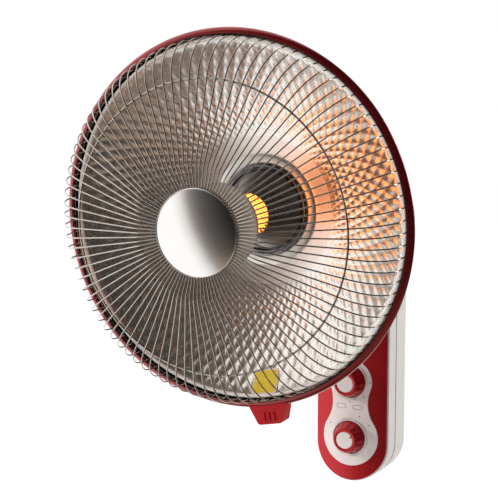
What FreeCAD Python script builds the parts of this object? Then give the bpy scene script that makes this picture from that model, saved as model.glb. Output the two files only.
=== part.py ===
import FreeCAD, Part
import math
import os

# Wall-mounted ceramic heater, in millimetres. The wall is the plane y = 0, the front faces -Y and +Z is up.
# The origin is the middle of the four wall-screw holes, on the wall.

V = FreeCAD.Vector
os.makedirs("parts", exist_ok=True)

# Layout
HEAD_Z = 190.0          # height of the dish axis
SWING_Y = -150.0        # the head swings about a vertical line here and tilts about a cross line through it
RIM_Y = -350.0          # plane of the rim, from which the head's depths are measured
SWING_LIMIT = 35.0      # degrees each way

# Clearances
FIT = 0.2               # between parts that are placed in each other
RUN = 0.05              # running fit of a shaft, on the radius
PRESS = 0.02            # close fit of a piece pushed onto a shaft, on the radius
WELD = 0.05             # between a wire and the ring it is welded to
PAST = 10.0             # how far a cutting shape runs past the surface it cuts

# Rim and reflector, as radius from the dish axis and distance forward of the rim plane
RIM_R = 190.0
RIM_EDGE_F = -1.5       # where the rim is widest
RIM_FRONT = 4.2         # front of the roll that holds the guard
RIM_ROLL = 6.6          # how far the roll reaches in
RIM_BACK = -20.0
RIM_TAPER = 9.0         # how far the rim draws in towards its back
RIM_WALL = 2.6
RIM_BACK_WALL = 1.8     # at the rim's back edge
ROLL_EDGE = 1.8         # thickness of the roll's inner edge
CHANNEL_TOP = -3.0      # where the straight wall of the groove behind the roll starts
CHANNEL_FLOOR = -10.5
RIM_WEB = 2.5
SEAT_W = 2.5            # wall that carries the reflector's edge
SEAT_F = -7.5
SEAT_GAP = 1.0          # from the end of the parabola to that wall
SHEET = 0.9             # spun aluminium
BEAD_R = 1.6            # rolled edge of the reflector
DISH_INSET = 14.0       # from the outside of the rim to the end of the parabola
DISH_VERTEX = -79.0     # where the parabola of the dish would meet its axis
DISH_START_R = 57.0
DISH_STEP = 3.2         # height of the raised flat round the middle of the dish
STEP_RUN = 2.0          # width of the slope up to it
DISH_HOLE_R = 40.0

# Heating core
CONE_BASE_R = 43.0
CONE_BEAD_R = 2.5
CONE_FRONT_R = 22.5
CONE_FRONT_F = -30.0
CONE_SHEET = 1.0
CORE_R = 16.0
CORE_COLLAR_R = 21.6
CORE_COLLAR = 4.0
CORE_BEVEL = 1.0
CORE_FRONT = 30.0
CORE_BACK = -102.0
COIL_R = 2.3            # radius of the wound heating strand
COIL_GAP = 0.35         # from the strand to the core
COIL_TURNS = 9
COIL_BACK = -42.0
COIL_FRONT = 22.0
STUD_R = 3.0
STUD_PAST = 8.0         # how far the stud stands out of its nuts' seats
NUT_W = 10.0
NUT_H = 5.0
NUT_ROOM = 4.0          # hole in the hinge bracket, beyond the flats of the nut
DISC_R = 42.5           # plain disc in front of the core
DISC_SHEET = 0.8
DISC_DISH = 4.0
DISC_MID = (0.8, 0.45)  # shares of the radius and of the dishing at the middle of its curve
SOCKET_WALL = 3.0       # how far the ceramic socket is wider than the core's collar

# Guard
WIRE_COUNT = 96
WIRE_R = 0.75
WIRE_TURN = 0.6         # degrees from the level line to the first wire
GUARD_TOP_R = 66.0      # where the flat middle bends down to the slope
GUARD_TOP_F = 82.0
GUARD_MID_F = 80.0
GUARD_SLOPE = 0.32      # fall of the slope for each mm outwards
GUARD_BEND = 20.0
GUARD_CORNER = 50.0
MID_RING_GAP = 1.8      # from the middle ring to the start of the rounded corner
MID_RING_R = 1.1
END_RING_R = 1.2
CAP_R = 43.6
CAP_LAP = 6.0           # length of wire under the cap
CAP_DOME = 8.0
CAP_EDGE_H = 1.2
CAP_SHEET = 1.0
CAP_SKIRT = 2.6
POST_HEAD = 2.5         # head of the post that holds the cap, beyond the post and in height

# Back of the head
SHELL_SHEET = 0.8
SHELL_BACK = -120.0
SHELL_BACK_R = 78.0
SHELL_LIP = 2.2         # flat edge of the shell inside the rim
SHELL_SHOULDER = 12.0   # how full the shell is behind the rim and behind its flat back
SHELL_SHOULDER_F = -62.0
SHELL_ROUND = 50.0
COVER_R = 64.0
COVER_DEPTH = 31.0
COVER_FLAT_R = 34.0
COVER_WALL = 2.0
COVER_EDGE = 3.0        # straight edge of the cover and thickness of its screw tabs
COVER_ROUND = 14.0
COVER_TAB_R = 6.0
COVER_SCREW_R = 1.8
VENT_COUNT = 14
VENT_W = 3.2
BRACKET_SHEET = 3.0
EAR_H = 28.0
CUTOUT_X = 38.0
CUTOUT_R = 8.0
CUTOUT_H = 6.0
CUTOUT_TAB_W = 4.0
CUTOUT_TAB_T = 2.0
CUTOUT_TAB_Z = 3.0      # height of its two tabs above and below its middle
GRIP_TURN = -78.6       # degrees, where the grip tab sits on the rim
GRIP_TOP_W = 48.0
GRIP_END_W = 24.0
GRIP_H = 17.0
GRIP_D = 16.0
GRIP_FOOT = 5.0         # height of the tab's flared foot
GRIP_FLARE = 3.0        # and how far it spreads on each side
GRIP_ROUND = 2.0
GRIP_SET = 7.0          # how far the tab stands forward of the rim's back edge
RIB_W = 2.2
RIB_GAP = 5.5
RIB_PROUD = 1.4

# Column
COL_W = 90.0
COL_TOP = 133.0
COL_BOTTOM = -161.0
COL_CORNER = 22.0
COL_SEAM = 28.0         # depth of the rear housing
COL_WALL = 2.5
COL_DRAFT = 0.4         # the front housing narrows by this much each side over its straight part
COL_STRAIGHT = 12.0
WALL_GAP = 0.4          # from the wall to the edge of the rear housing
FRONT_CURVE = 158.0     # radius of the bowed front
FRONT_CREST = -52.5
FRONT_LAND = 1.2        # white edge left round the red panel
FRONT_OVER = 4.0        # how far the tapered blank runs past the bow
PANEL_T = 2.5
PANEL_W = 85.0
PANEL_TOP = 32.0
PANEL_CORNER = 12.0
DIAL_PROUD = 0.5
HEAT_Z = -42.0
TIMER_Z = -108.0
HEAT_LOBE_R = 26.0
TIMER_LOBE_R = 33.4
WAIST_W = 42.8
WELL_R = 22.6
WELL_D = 1.3
COLLAR_IN = 1.0         # from the knob to the collar round it
COLLAR_W = 1.2
KNOB_R = 18.8
KNOB_FACE_R = 14.4
KNOB_H = 15.6
KNOB_EDGE = 1.6
KNOB_SKIRT = 2.0
KNOB_LIFT = 0.5         # from the floor of the well to the knob
KNOB_TOP_T = 4.0        # from the spindle's bore to the face
FLUTE_COUNT = 12
FLUTE_R = 4.2
FLUTE_D = 1.1
KNOB_DISC_R = 9.8
KNOB_DISC_T = 1.2
KNOB_DISC_PROUD = 0.4
POINTER_L = 2.6
POINTER_W = 1.8
HEAT_POINTER = 90.0     # degrees from the level line
TIMER_POINTER = 28.0
SPINDLE_R = 3.0
SPINDLE_FOOT = 1.5      # how far the foot of a spindle is wider than it
SPINDLE_FOOT_T = 3.0
SPINDLE_HOLE_R = 5.2
SWITCH_PAD_R = 11.0
SWITCH_PAD_T = 2.0
HEAT_SWITCH_W = 32.0
HEAT_DEPTH = 17.0
TIMER_R = 22.0
TIMER_DEPTH = 20.0
SWITCH_BACK_T = 3.0     # back wall of both
BOSS_R = 4.5
BOSS_SCREW_R = 1.5
BOSS_BITE = 12.0        # length of screw in the front bosses
BRACKET_W = 70.0
BRACKET_H = 150.0
BRACKET_T = 2.0
BRACKET_CORNER = 10.0
HOOK_W = 24.0
HOOK_AT = 50.0          # height of the hooks above and below the middle
HOOK_RISE = 7.0
HOOK_T = 2.0
HOOK_GAP = 1.2
RECESS = 10.0           # space behind the rear housing for the wall bracket
WALL_HOLE_X = 50.0
WALL_HOLE_Z = 120.0
WALL_HOLE_R = 2.6
GLAND_R = 6.5
GLAND_BORE = 3.6
GLAND_FLANGE = 2.0
GLAND_BEAD = 1.2        # holds the gland inside the wall
BLOCK_W = 52.0
BLOCK_H = 18.0
BLOCK_D = 12.0
BLOCK_Z = -8.0
TERMINAL_PITCH = 13.0
TERMINAL_R = 2.4
TERMINAL_SCREW_R = 1.1
TAB_T = 0.8             # push-on terminals of the heat switch
TAB_L = 6.0

# Arm and neck
ARM_W = 72.0
ARM_TOP = 115.0
ARM_TIP = 62.0
ARM_ROOT = 44.0
ARM_WALL = 2.6
ARM_NOSE = 12.0         # height of the rounding under the nose
ARM_FALL = 8.0          # how far the underside falls towards the column
LID_T = 3.0
LID_SINK = 1.6
LID_SCREW_R = 1.3
LID_POST_R = 3.6
POST_SINK = 0.8         # how far a post beside the arm's wall runs into it
POST_BITE = 12.0        # length of screw in the arm's posts
ARM_GATE = 14.0         # from the arm's top and root to the opening for its wires
ARM_BOLT_R = 1.6
PIVOT_R = 10.0
PIVOT_BORE = 6.0
BUSH_WALL = 3.0
BUSH_FLANGE = 4.0
TABLE_R = 31.0
TABLE_GAP = 0.6
TABLE_T = 5.4
TABLE_BEVEL = 1.5
POST_FOOT = 9.0         # step from the turntable's edge to the foot of the post
POST_TOP_R = 14.6
KNUCKLE_R = 15.0
KNUCKLE_W = 35.0
TILT_R = 4.0
TILT_NUT_W = 13.0
TILT_NUT_H = 6.0
WASHER_T = 1.0
WASHER_EDGE = 3.0       # how far the washers are smaller than the knuckle
CRANK_REACH = 28.0      # swing line to crank line
CRANK_T = 2.8
CRANK_EDGE = 3.4        # from the pin's line to the edge of the crank
CRANK_PIN_R = 2.5
SLOT_PLAY = 1.3         # each side of the crank pin, because crank and swing turn in a fixed ratio
MOTOR_ROOM = 8.9        # beside the motor, for its ears and their screws
MOTOR_H = 20.0
MOTOR_TOP = 86.0
MOTOR_EAR = 4.6         # from the motor to the line of an ear screw
MOTOR_EAR_T = 2.0
LEVER_Z = 95.0
LEVER_T = 3.0
LEVER_RIM = 3.0         # of material beside the slot
HUB_RIM = 5.0           # and round the hub
CLIP_T = 1.6
CLIP_GROOVE = 1.2


class Outline:
    """A closed flat outline built step by step, where place turns two numbers into a point."""

    def __init__(self, place, start):
        self.place = place
        self.start = start
        self.at = start
        self.edges = []

    def line(self, *points):
        for p in points:
            self.edges.append(Part.makeLine(self.place(*self.at), self.place(*p)))
            self.at = p
        return self

    def arc(self, through, end):
        points = [self.place(*p) for p in (self.at, through, end)]
        self.edges.append(Part.Arc(*points).toShape())
        self.at = end
        return self

    def curve(self, *poles):
        bezier = Part.BezierCurve()
        bezier.setPoles([self.place(*p) for p in (self.at,) + poles])
        self.edges.append(bezier.toShape())
        self.at = poles[-1]
        return self

    def wire(self):
        if math.dist(self.at, self.start) > 1e-6:
            self.line(self.start)
        return Part.Wire(self.edges)

    def face(self):
        return Part.Face(self.wire())


def head(r, f):
    """Radius from the dish axis and distance forward of the rim plane, in the level half plane."""
    return V(r, RIM_Y - f, HEAD_Z)


def front(x, z):
    return V(x, 0, z)


def plan(x, y):
    return V(x, y, 0)


def side(y, z):
    return V(0, y, z)


def spin_head(outline):
    return outline.face().revolve(V(0, RIM_Y, HEAD_Z), V(0, 1, 0), 360)


def round_head(r, f0, f1):
    """A cylinder on the dish axis."""
    return Part.makeCylinder(r, abs(f1 - f0), V(0, RIM_Y - min(f0, f1), HEAD_Z), V(0, -1, 0))


def round_y(r, y0, y1, x, z):
    return Part.makeCylinder(r, abs(y1 - y0), V(x, min(y0, y1), z), V(0, 1, 0))


def round_z(r, z0, z1, x=0, y=0):
    return Part.makeCylinder(r, z1 - z0, V(x, y, z0))


def round_x(r, x0, x1, y, z):
    return Part.makeCylinder(r, x1 - x0, V(x0, y, z), V(1, 0, 0))


def box(x0, x1, y0, y1, z0, z1):
    return Part.makeBox(x1 - x0, y1 - y0, z1 - z0, V(x0, y0, z0))


def fuse(*shapes):
    return shapes[0].multiFuse(list(shapes[1:])).removeSplitter()


def cut(shape, *tools):
    return shape.cut(list(tools)).removeSplitter()


def copies_about(shape, count, centre, axis, first=0.0):
    """Equal copies round an axis."""
    out = []
    for i in range(count):
        piece = shape.copy()
        piece.rotate(centre, axis, first + 360.0 * i / count)
        out.append(piece)
    return out


def hexagon(across, height, base, axis):
    """A hexagon prism standing on base along axis."""
    reach = across / math.sqrt(3)
    points = []
    for i in range(7):
        points.append(V(reach * math.cos(math.radians(60 * i)), reach * math.sin(math.radians(60 * i)), 0))
    prism = Part.Face(Part.makePolygon(points)).extrude(V(0, 0, height))
    prism.Placement = FreeCAD.Placement(base, FreeCAD.Rotation(V(0, 0, 1), axis))
    return prism


def pan_screw(r, base, axis, length):
    """A screw whose slotted head stands on base along axis and whose shank runs the other way."""
    head_r = 2 * r
    head_h = 1.2 * r
    shank = Part.makeCylinder(r, length, base, axis * -1)
    top = Part.makeCylinder(head_r, head_h, base, axis)
    slot = Part.makeBox(3 * head_r, head_r / 3, head_h, V(-1.5 * head_r, -head_r / 6, head_h / 2))
    slot.Placement = FreeCAD.Placement(base, FreeCAD.Rotation(V(0, 0, 1), axis)) * slot.Placement
    return fuse(shank, top).cut(slot)


def export(name, *shapes):
    shape = shapes[0] if len(shapes) == 1 else Part.makeCompound(list(shapes))
    solids = shape.Solids
    good = all(s.isValid() and s.Volume > 0 for s in solids)
    shape = solids[0] if len(solids) == 1 else Part.makeCompound(solids)
    shape.exportStep("parts/%s.step" % name)
    print("%-18s solids %3d  faces %4d  %s" % (name, len(solids), len(shape.Faces), "ok" if good else "BAD"))
    return shape


# Rim ring, which carries the reflector and the guard
roll_r = RIM_R - RIM_ROLL
rim_back_r = RIM_R - RIM_TAPER
rim_slope = RIM_TAPER / (RIM_EDGE_F - RIM_BACK)
half_turn = math.sqrt(0.5)
roll_mid = (roll_r + RIM_ROLL * half_turn, RIM_EDGE_F + (RIM_FRONT - RIM_EDGE_F) * half_turn)
dish_edge_r = RIM_R - DISH_INSET
reflector_r = roll_r + FIT
seat_in = dish_edge_r + SEAT_GAP
seat_out = seat_in + SEAT_W
web_back = CHANNEL_FLOOR - RIM_WEB
shell_r = rim_back_r - RIM_BACK_WALL
roll_under = RIM_FRONT - ROLL_EDGE
channel_r = RIM_R - RIM_WALL - rim_slope * (RIM_EDGE_F - CHANNEL_TOP)
floor_r = RIM_R - RIM_WALL - rim_slope * (RIM_EDGE_F - CHANNEL_FLOOR)
under_mid = (roll_r + (channel_r - roll_r) * half_turn, CHANNEL_TOP + (roll_under - CHANNEL_TOP) * half_turn)
rim = Outline(head, (roll_r, RIM_FRONT)).arc(roll_mid, (RIM_R, RIM_EDGE_F))
rim.line((rim_back_r, RIM_BACK), (shell_r, RIM_BACK), (shell_r, web_back), (seat_in, web_back))
rim.line((seat_in, SEAT_F), (seat_out, SEAT_F), (seat_out, CHANNEL_FLOOR), (floor_r, CHANNEL_FLOOR))
rim.line((channel_r, CHANNEL_TOP)).arc(under_mid, (roll_r, roll_under))
rim_ring = spin_head(rim)

# Reflector: a spun parabola with a raised middle and a rolled edge
dish_edge_f = SEAT_F + SHEET
dish_rise = (dish_edge_f - DISH_VERTEX) / dish_edge_r ** 2
dish_start_f = DISH_VERTEX + dish_rise * DISH_START_R ** 2
dish_pole_r = (DISH_START_R + dish_edge_r) / 2
dish_pole_f = dish_start_f + dish_rise * DISH_START_R * (dish_edge_r - DISH_START_R)
dish_flat_r = DISH_START_R - STEP_RUN
flat_f = dish_start_f + DISH_STEP
bead_r = reflector_r - BEAD_R
bead_f = dish_edge_f + BEAD_R
bead_in = BEAD_R - SHEET
dish = Outline(head, (DISH_HOLE_R, flat_f)).line((dish_flat_r, flat_f), (DISH_START_R, dish_start_f))
dish.curve((dish_pole_r, dish_pole_f), (dish_edge_r, dish_edge_f))
dish.line((bead_r - BEAD_R, dish_edge_f), (bead_r - BEAD_R, bead_f))
dish.arc((bead_r, bead_f + BEAD_R), (bead_r + BEAD_R, bead_f)).line((bead_r + BEAD_R, SEAT_F))
dish.line((bead_r + bead_in, SEAT_F), (bead_r + bead_in, bead_f))
dish.arc((bead_r, bead_f + bead_in), (bead_r - bead_in, bead_f))
dish.line((bead_r - bead_in, SEAT_F), (dish_edge_r, SEAT_F))
dish.curve((dish_pole_r, dish_pole_f - SHEET), (DISH_START_R, dish_start_f - SHEET))
dish.line((dish_flat_r - SHEET / 2, flat_f - SHEET), (DISH_HOLE_R, flat_f - SHEET))
reflector = spin_head(dish)

# Polished cone that stands on the raised middle of the dish
bead_at = CONE_BASE_R + CONE_BEAD_R
cone_lip_r = CONE_FRONT_R - CONE_SHEET
cone = Outline(head, (bead_at + CONE_BEAD_R, flat_f))
cone.arc((bead_at, flat_f + CONE_BEAD_R), (CONE_BASE_R, flat_f))
cone.line((CONE_FRONT_R, CONE_FRONT_F), (cone_lip_r, CONE_FRONT_F))
cone.line((CONE_BASE_R - CONE_SHEET, flat_f))
core_cone = spin_head(cone)

# Ceramic core, a bobbin on a steel stud
collar_front = CORE_FRONT - CORE_COLLAR
collar_back = CORE_BACK + CORE_COLLAR
front_collar_r = CORE_COLLAR_R - CORE_BEVEL
stud_hole_r = STUD_R + FIT
core = Outline(head, (stud_hole_r, CORE_BACK)).line((CORE_COLLAR_R, CORE_BACK), (CORE_COLLAR_R, collar_back))
core.line((CORE_R, collar_back + 2 * CORE_BEVEL), (CORE_R, collar_front - CORE_BEVEL))
core.line((front_collar_r, collar_front))
core.line((front_collar_r, CORE_FRONT - CORE_BEVEL), (front_collar_r - CORE_BEVEL, CORE_FRONT))
core.line((stud_hole_r, CORE_FRONT))
ceramic_core = spin_head(core)


# Heating strand: one helix of biarcs, with straight ends
def unit(v):
    return v * (1.0 / v.Length)


def arc_from(a, direction, b):
    """The arc from a, leaving along direction, that ends at b."""
    chord = b - a
    along = unit(chord)
    across = direction - along * direction.dot(along)
    if across.Length < 1e-9:
        return Part.makeLine(a, b)
    half = math.acos(max(-1.0, min(1.0, direction.dot(along)))) / 2
    middle = a + chord * 0.5 + unit(across) * (chord.Length / 2 * math.tan(half))
    return Part.Arc(a, middle, b).toShape()


def biarc(a, ta, b, tb):
    """Two arcs from a to b that leave along ta and arrive along tb."""
    gap = b - a
    both = ta + tb
    k = both.dot(both) - 4
    p = gap.dot(both)
    q = gap.dot(gap)
    d = q / (2 * p) if abs(k) < 1e-12 else (p - math.sqrt(p * p - k * q)) / k
    joint = (a + ta * d + b - tb * d) * 0.5
    return [arc_from(a, ta, joint), arc_from(joint, unit(b - tb * d - a - ta * d), b)]


coil_radius = CORE_R + COIL_R + COIL_GAP
coil_pitch = (COIL_FRONT - COIL_BACK) / COIL_TURNS


def coil_point(t):
    """Point and direction on the winding after t turns."""
    a = 2 * math.pi * t
    c = coil_radius * math.cos(a)
    s = coil_radius * math.sin(a)
    point = V(c, RIM_Y - COIL_BACK - coil_pitch * t, HEAD_Z + s)
    return point, unit(V(-2 * math.pi * s, -coil_pitch, 2 * math.pi * c))


knots = [coil_point(i / 4.0) for i in range(4 * COIL_TURNS + 1)]
strand = []
for (a, ta), (b, tb) in zip(knots, knots[1:]):
    strand += biarc(a, ta, b, tb)
first, first_dir = knots[0]
last, last_dir = knots[-1]
strand.insert(0, Part.makeLine(first - first_dir * 2 * COIL_R, first))
strand.append(Part.makeLine(last, last + last_dir * 2 * COIL_R))
section = Part.Wire(Part.makeCircle(COIL_R, first - first_dir * 2 * COIL_R, first_dir))
heating_coil = Part.Wire(strand).makePipeShell([section], True, False)
samples = []
for edge in strand:
    samples += edge.discretize(9)[:-1]
per_turn = 64
least = min((p - q).Length for i, p in enumerate(samples) for q in samples[i + per_turn // 2:i + per_turn * 2])
print("heating coil: least gap to itself %.2f mm" % (least - 2 * COIL_R))

# Stud through the core, its nuts, the plain disc and the ceramic socket behind
socket_back = SHELL_BACK + SHELL_SHEET
disc_edge_f = CORE_FRONT + DISC_DISH
disc_mid_r = DISC_R * DISC_MID[0]
disc_mid_f = CORE_FRONT + DISC_DISH * DISC_MID[1]
disc = Outline(head, (stud_hole_r, CORE_FRONT)).line((CORE_COLLAR_R, CORE_FRONT))
disc.arc((disc_mid_r, disc_mid_f), (DISC_R - DISC_SHEET, disc_edge_f))
disc.arc((DISC_R, disc_edge_f + DISC_SHEET / 2), (DISC_R - DISC_SHEET, disc_edge_f + DISC_SHEET))
disc.arc((disc_mid_r, disc_mid_f + DISC_SHEET), (CORE_COLLAR_R, CORE_FRONT + DISC_SHEET))
disc.line((stud_hole_r, CORE_FRONT + DISC_SHEET))
core_disc = spin_head(disc)
nut_f = CORE_FRONT + DISC_SHEET
core_stud = round_head(STUD_R, SHELL_BACK - STUD_PAST, nut_f + STUD_PAST)
nut_bore = round_head(STUD_R + PRESS, SHELL_BACK - PAST, nut_f + PAST)
core_nuts = [hexagon(NUT_W, NUT_H, head(0, nut_f), V(0, -1, 0)).cut(nut_bore),
             hexagon(NUT_W, NUT_H, head(0, SHELL_BACK), V(0, 1, 0)).cut(nut_bore)]
core_socket = cut(round_head(CORE_COLLAR_R + SOCKET_WALL, socket_back, CORE_BACK),
                  round_head(stud_hole_r, SHELL_BACK, CORE_BACK))

# Guard: radial wires, their three rings and the cap
guard_r = roll_r - 2 * FIT - WIRE_R
slope = math.atan(GUARD_SLOPE)
corner_f = GUARD_TOP_F - GUARD_SLOPE * (guard_r - GUARD_TOP_R)
corner_run = GUARD_CORNER * math.tan((math.pi / 2 - slope) / 2)
start_r = CAP_R - CAP_LAP
lean = math.atan2(GUARD_TOP_F - GUARD_MID_F, GUARD_TOP_R - start_r)
bend_run = GUARD_BEND * math.tan((lean + slope) / 2)
end_f = bead_f + BEAD_R + FIT


def turn_mid(corner, before, after, radius):
    """Middle of the rounding of a corner, for the directions of its two legs."""
    bisector = unit(before * -1 + after)
    half = math.acos(max(-1.0, min(1.0, (before * -1).dot(bisector))))
    return corner + bisector * (radius / math.sin(half) - radius)


run_in = V(math.cos(lean), math.sin(lean), 0)
run_down = V(math.cos(slope), -math.sin(slope), 0)
run_back = V(0, -1, 0)
bend = V(GUARD_TOP_R, GUARD_TOP_F, 0)
corner = V(guard_r, corner_f, 0)
b0 = bend - run_in * bend_run
b1 = bend + run_down * bend_run
bm = turn_mid(bend, run_in, run_down, GUARD_BEND)
c0 = corner - run_down * corner_run
c1 = corner + run_back * corner_run
cm = turn_mid(corner, run_down, run_back, GUARD_CORNER)
leg = Outline(head, (start_r, GUARD_MID_F)).line((b0.x, b0.y)).arc((bm.x, bm.y), (b1.x, b1.y))
leg.line((c0.x, c0.y)).arc((cm.x, cm.y), (c1.x, c1.y)).line((guard_r, end_f))
start_dir = V(math.cos(lean), -math.sin(lean), 0)
section = Part.Wire(Part.makeCircle(WIRE_R, head(start_r, GUARD_MID_F), start_dir))
wire = Part.Wire(leg.edges).makePipeShell([section], True, False)
axis_point = V(0, RIM_Y, HEAD_Z)
guard_wires = copies_about(wire, WIRE_COUNT, axis_point, V(0, -1, 0), WIRE_TURN)


def ring(r, f, thickness):
    return Part.makeTorus(r, thickness, head(0, f), V(0, 1, 0))


mid_r = c0.x - MID_RING_GAP
mid_f = GUARD_TOP_F - GUARD_SLOPE * (mid_r - GUARD_TOP_R)
mid_off = WIRE_R + MID_RING_R + WELD
guard_mid_ring = ring(mid_r - math.sin(slope) * mid_off, mid_f - math.cos(slope) * mid_off, MID_RING_R)
guard_end_ring = ring(guard_r + WIRE_R + WELD + END_RING_R, end_f + END_RING_R, END_RING_R)
inner_r = start_r + 2 * END_RING_R
inner_wire_f = GUARD_MID_F + math.tan(lean) * (inner_r - start_r)
inner_ring_f = inner_wire_f - (WIRE_R + END_RING_R) / math.cos(lean) - WELD
guard_inner_ring = ring(inner_r, inner_ring_f, END_RING_R)

# Cap over the inner ends of the wires, the plate behind them and the post that holds both together
cap_edge_f = GUARD_MID_F + math.tan(lean) * (CAP_R - start_r) + WIRE_R / math.cos(lean) + WELD
cap_top = cap_edge_f + CAP_EDGE_H
cap_in = CAP_R - CAP_SKIRT
cap_in_f = cap_edge_f + CAP_EDGE_H / 2
cap_under = cap_top + CAP_DOME - CAP_SHEET


def dome_mid(r, rise, top):
    """Middle of the arc of a round dome, from its foot circle to its top."""
    ball = (r * r + rise * rise) / (2 * rise)
    half = math.asin(r / ball) / 2
    return ball * math.sin(half), top - ball + ball * math.cos(half)


cap = Outline(head, (CAP_R, cap_edge_f)).line((CAP_R, cap_top))
cap.arc(dome_mid(CAP_R, CAP_DOME, cap_top + CAP_DOME), (0, cap_top + CAP_DOME)).line((0, cap_under))
cap.arc(dome_mid(cap_in, cap_under - cap_in_f, cap_under), (cap_in, cap_in_f)).line((cap_in, cap_edge_f))
guard_cap = spin_head(cap)
plate_f = inner_ring_f - END_RING_R / math.cos(lean) - WELD
plate_back = plate_f - CAP_SHEET
plate_r = inner_r + END_RING_R
plate = Outline(head, (0, plate_f)).line((plate_r, plate_f), (plate_r, plate_back), (0, plate_back))
guard_plate = cut(spin_head(plate), round_head(stud_hole_r, plate_back - PAST, plate_f + PAST))
post = fuse(round_head(STUD_R, plate_back, cap_under),
            round_head(STUD_R + POST_HEAD, plate_back - POST_HEAD, plate_back))
cap_screw = post.cut(guard_cap)

# Back shell of the head, with the cover over its terminals
lip_back = web_back - SHELL_SHEET
lip_r = shell_r - SHELL_LIP
shell = Outline(head, (shell_r - FIT, web_back))
shell.line((shell_r - FIT, lip_back), (lip_r, lip_back - SHELL_SHEET))
shell.curve((shell_r - SHELL_SHOULDER, SHELL_SHOULDER_F), (SHELL_BACK_R + SHELL_ROUND, SHELL_BACK),
            (SHELL_BACK_R, SHELL_BACK))
shell.line((stud_hole_r, SHELL_BACK), (stud_hole_r, socket_back), (SHELL_BACK_R, socket_back))
shell.curve((SHELL_BACK_R + SHELL_ROUND - SHELL_SHEET, socket_back),
            (shell_r - SHELL_SHOULDER - SHELL_SHEET, SHELL_SHOULDER_F + SHELL_SHEET),
            (lip_r - SHELL_SHEET, lip_back))
shell.line((seat_in, lip_back), (seat_in, web_back))
back_shell = spin_head(shell)
cover_back = SHELL_BACK - COVER_DEPTH
cover_edge_f = SHELL_BACK - COVER_EDGE
cover_in_r = COVER_R - COVER_WALL
cover_in_f = cover_back + COVER_WALL
cover = Outline(head, (COVER_R, SHELL_BACK)).line((COVER_R, cover_edge_f))
cover.curve((COVER_R - COVER_EDGE, cover_edge_f - COVER_ROUND - COVER_EDGE),
            (COVER_FLAT_R + COVER_ROUND, cover_back), (COVER_FLAT_R, cover_back))
cover.line((0, cover_back), (0, cover_in_f), (COVER_FLAT_R, cover_in_f))
cover.curve((COVER_FLAT_R + COVER_ROUND - COVER_WALL, cover_in_f),
            (cover_in_r - COVER_EDGE, cover_edge_f - COVER_ROUND - COVER_EDGE + COVER_WALL),
            (cover_in_r, cover_edge_f))
cover.line((cover_in_r, SHELL_BACK))
shell_y = RIM_Y - SHELL_BACK
cover_y = RIM_Y - cover_back
ear_in = KNUCKLE_W / 2 + WASHER_T + 2 * RUN
ear_out = ear_in + BRACKET_SHEET
ear_low = HEAD_Z - EAR_H / 2
ear_high = HEAD_Z + EAR_H / 2
ear_slots = []
for s in (-1, 1):
    x0, x1 = sorted((s * (ear_in - 3 * FIT), s * (ear_out + 3 * FIT)))
    ear_slots.append(box(x0, x1, cover_y - PAST, cover_y + PAST, ear_low - 3 * FIT, ear_high + 3 * FIT))
vent = box(-VENT_W / 2, VENT_W / 2, shell_y + 2 * COVER_EDGE, cover_y + PAST,
           HEAD_Z + COVER_FLAT_R + COVER_WALL + COVER_EDGE, HEAD_Z + COVER_R)
vents = copies_about(vent, VENT_COUNT, axis_point, V(0, 1, 0), 180.0 / VENT_COUNT)
rear_cover = cut(spin_head(cover), *(ear_slots + vents))

# The cover is screwed to the shell through four tabs
tabs = []
tab_holes = []
cover_screws = []
for turn in (45, 135, 225, 315):
    c = (COVER_R + COVER_TAB_R - 1) * math.cos(math.radians(turn))
    s = (COVER_R + COVER_TAB_R - 1) * math.sin(math.radians(turn))
    at = V(c, shell_y, HEAD_Z + s)
    tabs.append(round_y(COVER_TAB_R, shell_y, shell_y + COVER_EDGE, at.x, at.z))
    tab_holes.append(round_y(COVER_SCREW_R + FIT, shell_y - PAST, shell_y + PAST, at.x, at.z))
    seat = at + V(0, COVER_EDGE, 0)
    cover_screws.append(pan_screw(COVER_SCREW_R, seat, V(0, 1, 0), COVER_EDGE + COVER_TAB_R))
tab_cut = round_head(cover_in_r, SHELL_BACK, cover_edge_f)
rear_cover = cut(fuse(rear_cover, *[t.cut(tab_cut) for t in tabs]), *tab_holes)
back_shell = cut(back_shell, *tab_holes)

# Hinge bracket: a plate on the shell and two ears that reach back to the tilt bolt
ears = []
for s in (-1, 1):
    x0, x1 = sorted((s * ear_in, s * ear_out))
    ears.append(box(x0, x1, shell_y, SWING_Y, ear_low, ear_high))
    ears.append(round_x(EAR_H / 2, x0, x1, SWING_Y, HEAD_Z))
bracket_plate = box(-ear_out, ear_out, shell_y, shell_y + BRACKET_SHEET, ear_low, ear_high)
hinge_bracket = cut(fuse(bracket_plate, *ears),
                    round_x(TILT_R + PRESS, -ear_out - PAST, ear_out + PAST, SWING_Y, HEAD_Z),
                    round_head(NUT_W / 2 + NUT_ROOM, SHELL_BACK + PAST, SHELL_BACK - PAST))
tilt_bolt = fuse(round_x(TILT_R, -ear_out - TILT_NUT_H - BRACKET_SHEET, ear_out, SWING_Y, HEAD_Z),
                 hexagon(TILT_NUT_W, TILT_NUT_H, V(ear_out, SWING_Y, HEAD_Z), V(1, 0, 0)))
tilt_nut = cut(hexagon(TILT_NUT_W, TILT_NUT_H, V(-ear_out, SWING_Y, HEAD_Z), V(-1, 0, 0)),
               round_x(TILT_R + PRESS, -ear_out - TILT_NUT_H - PAST, 0, SWING_Y, HEAD_Z))
friction_washers = []
for s in (-1, 1):
    x0, x1 = sorted((s * (KNUCKLE_W / 2 + RUN), s * ear_in))
    washer_bore = round_x(TILT_R + PRESS, x0 - PAST, x1 + PAST, SWING_Y, HEAD_Z)
    friction_washers.append(round_x(KNUCKLE_R - WASHER_EDGE, x0, x1, SWING_Y, HEAD_Z).cut(washer_bore))

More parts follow.
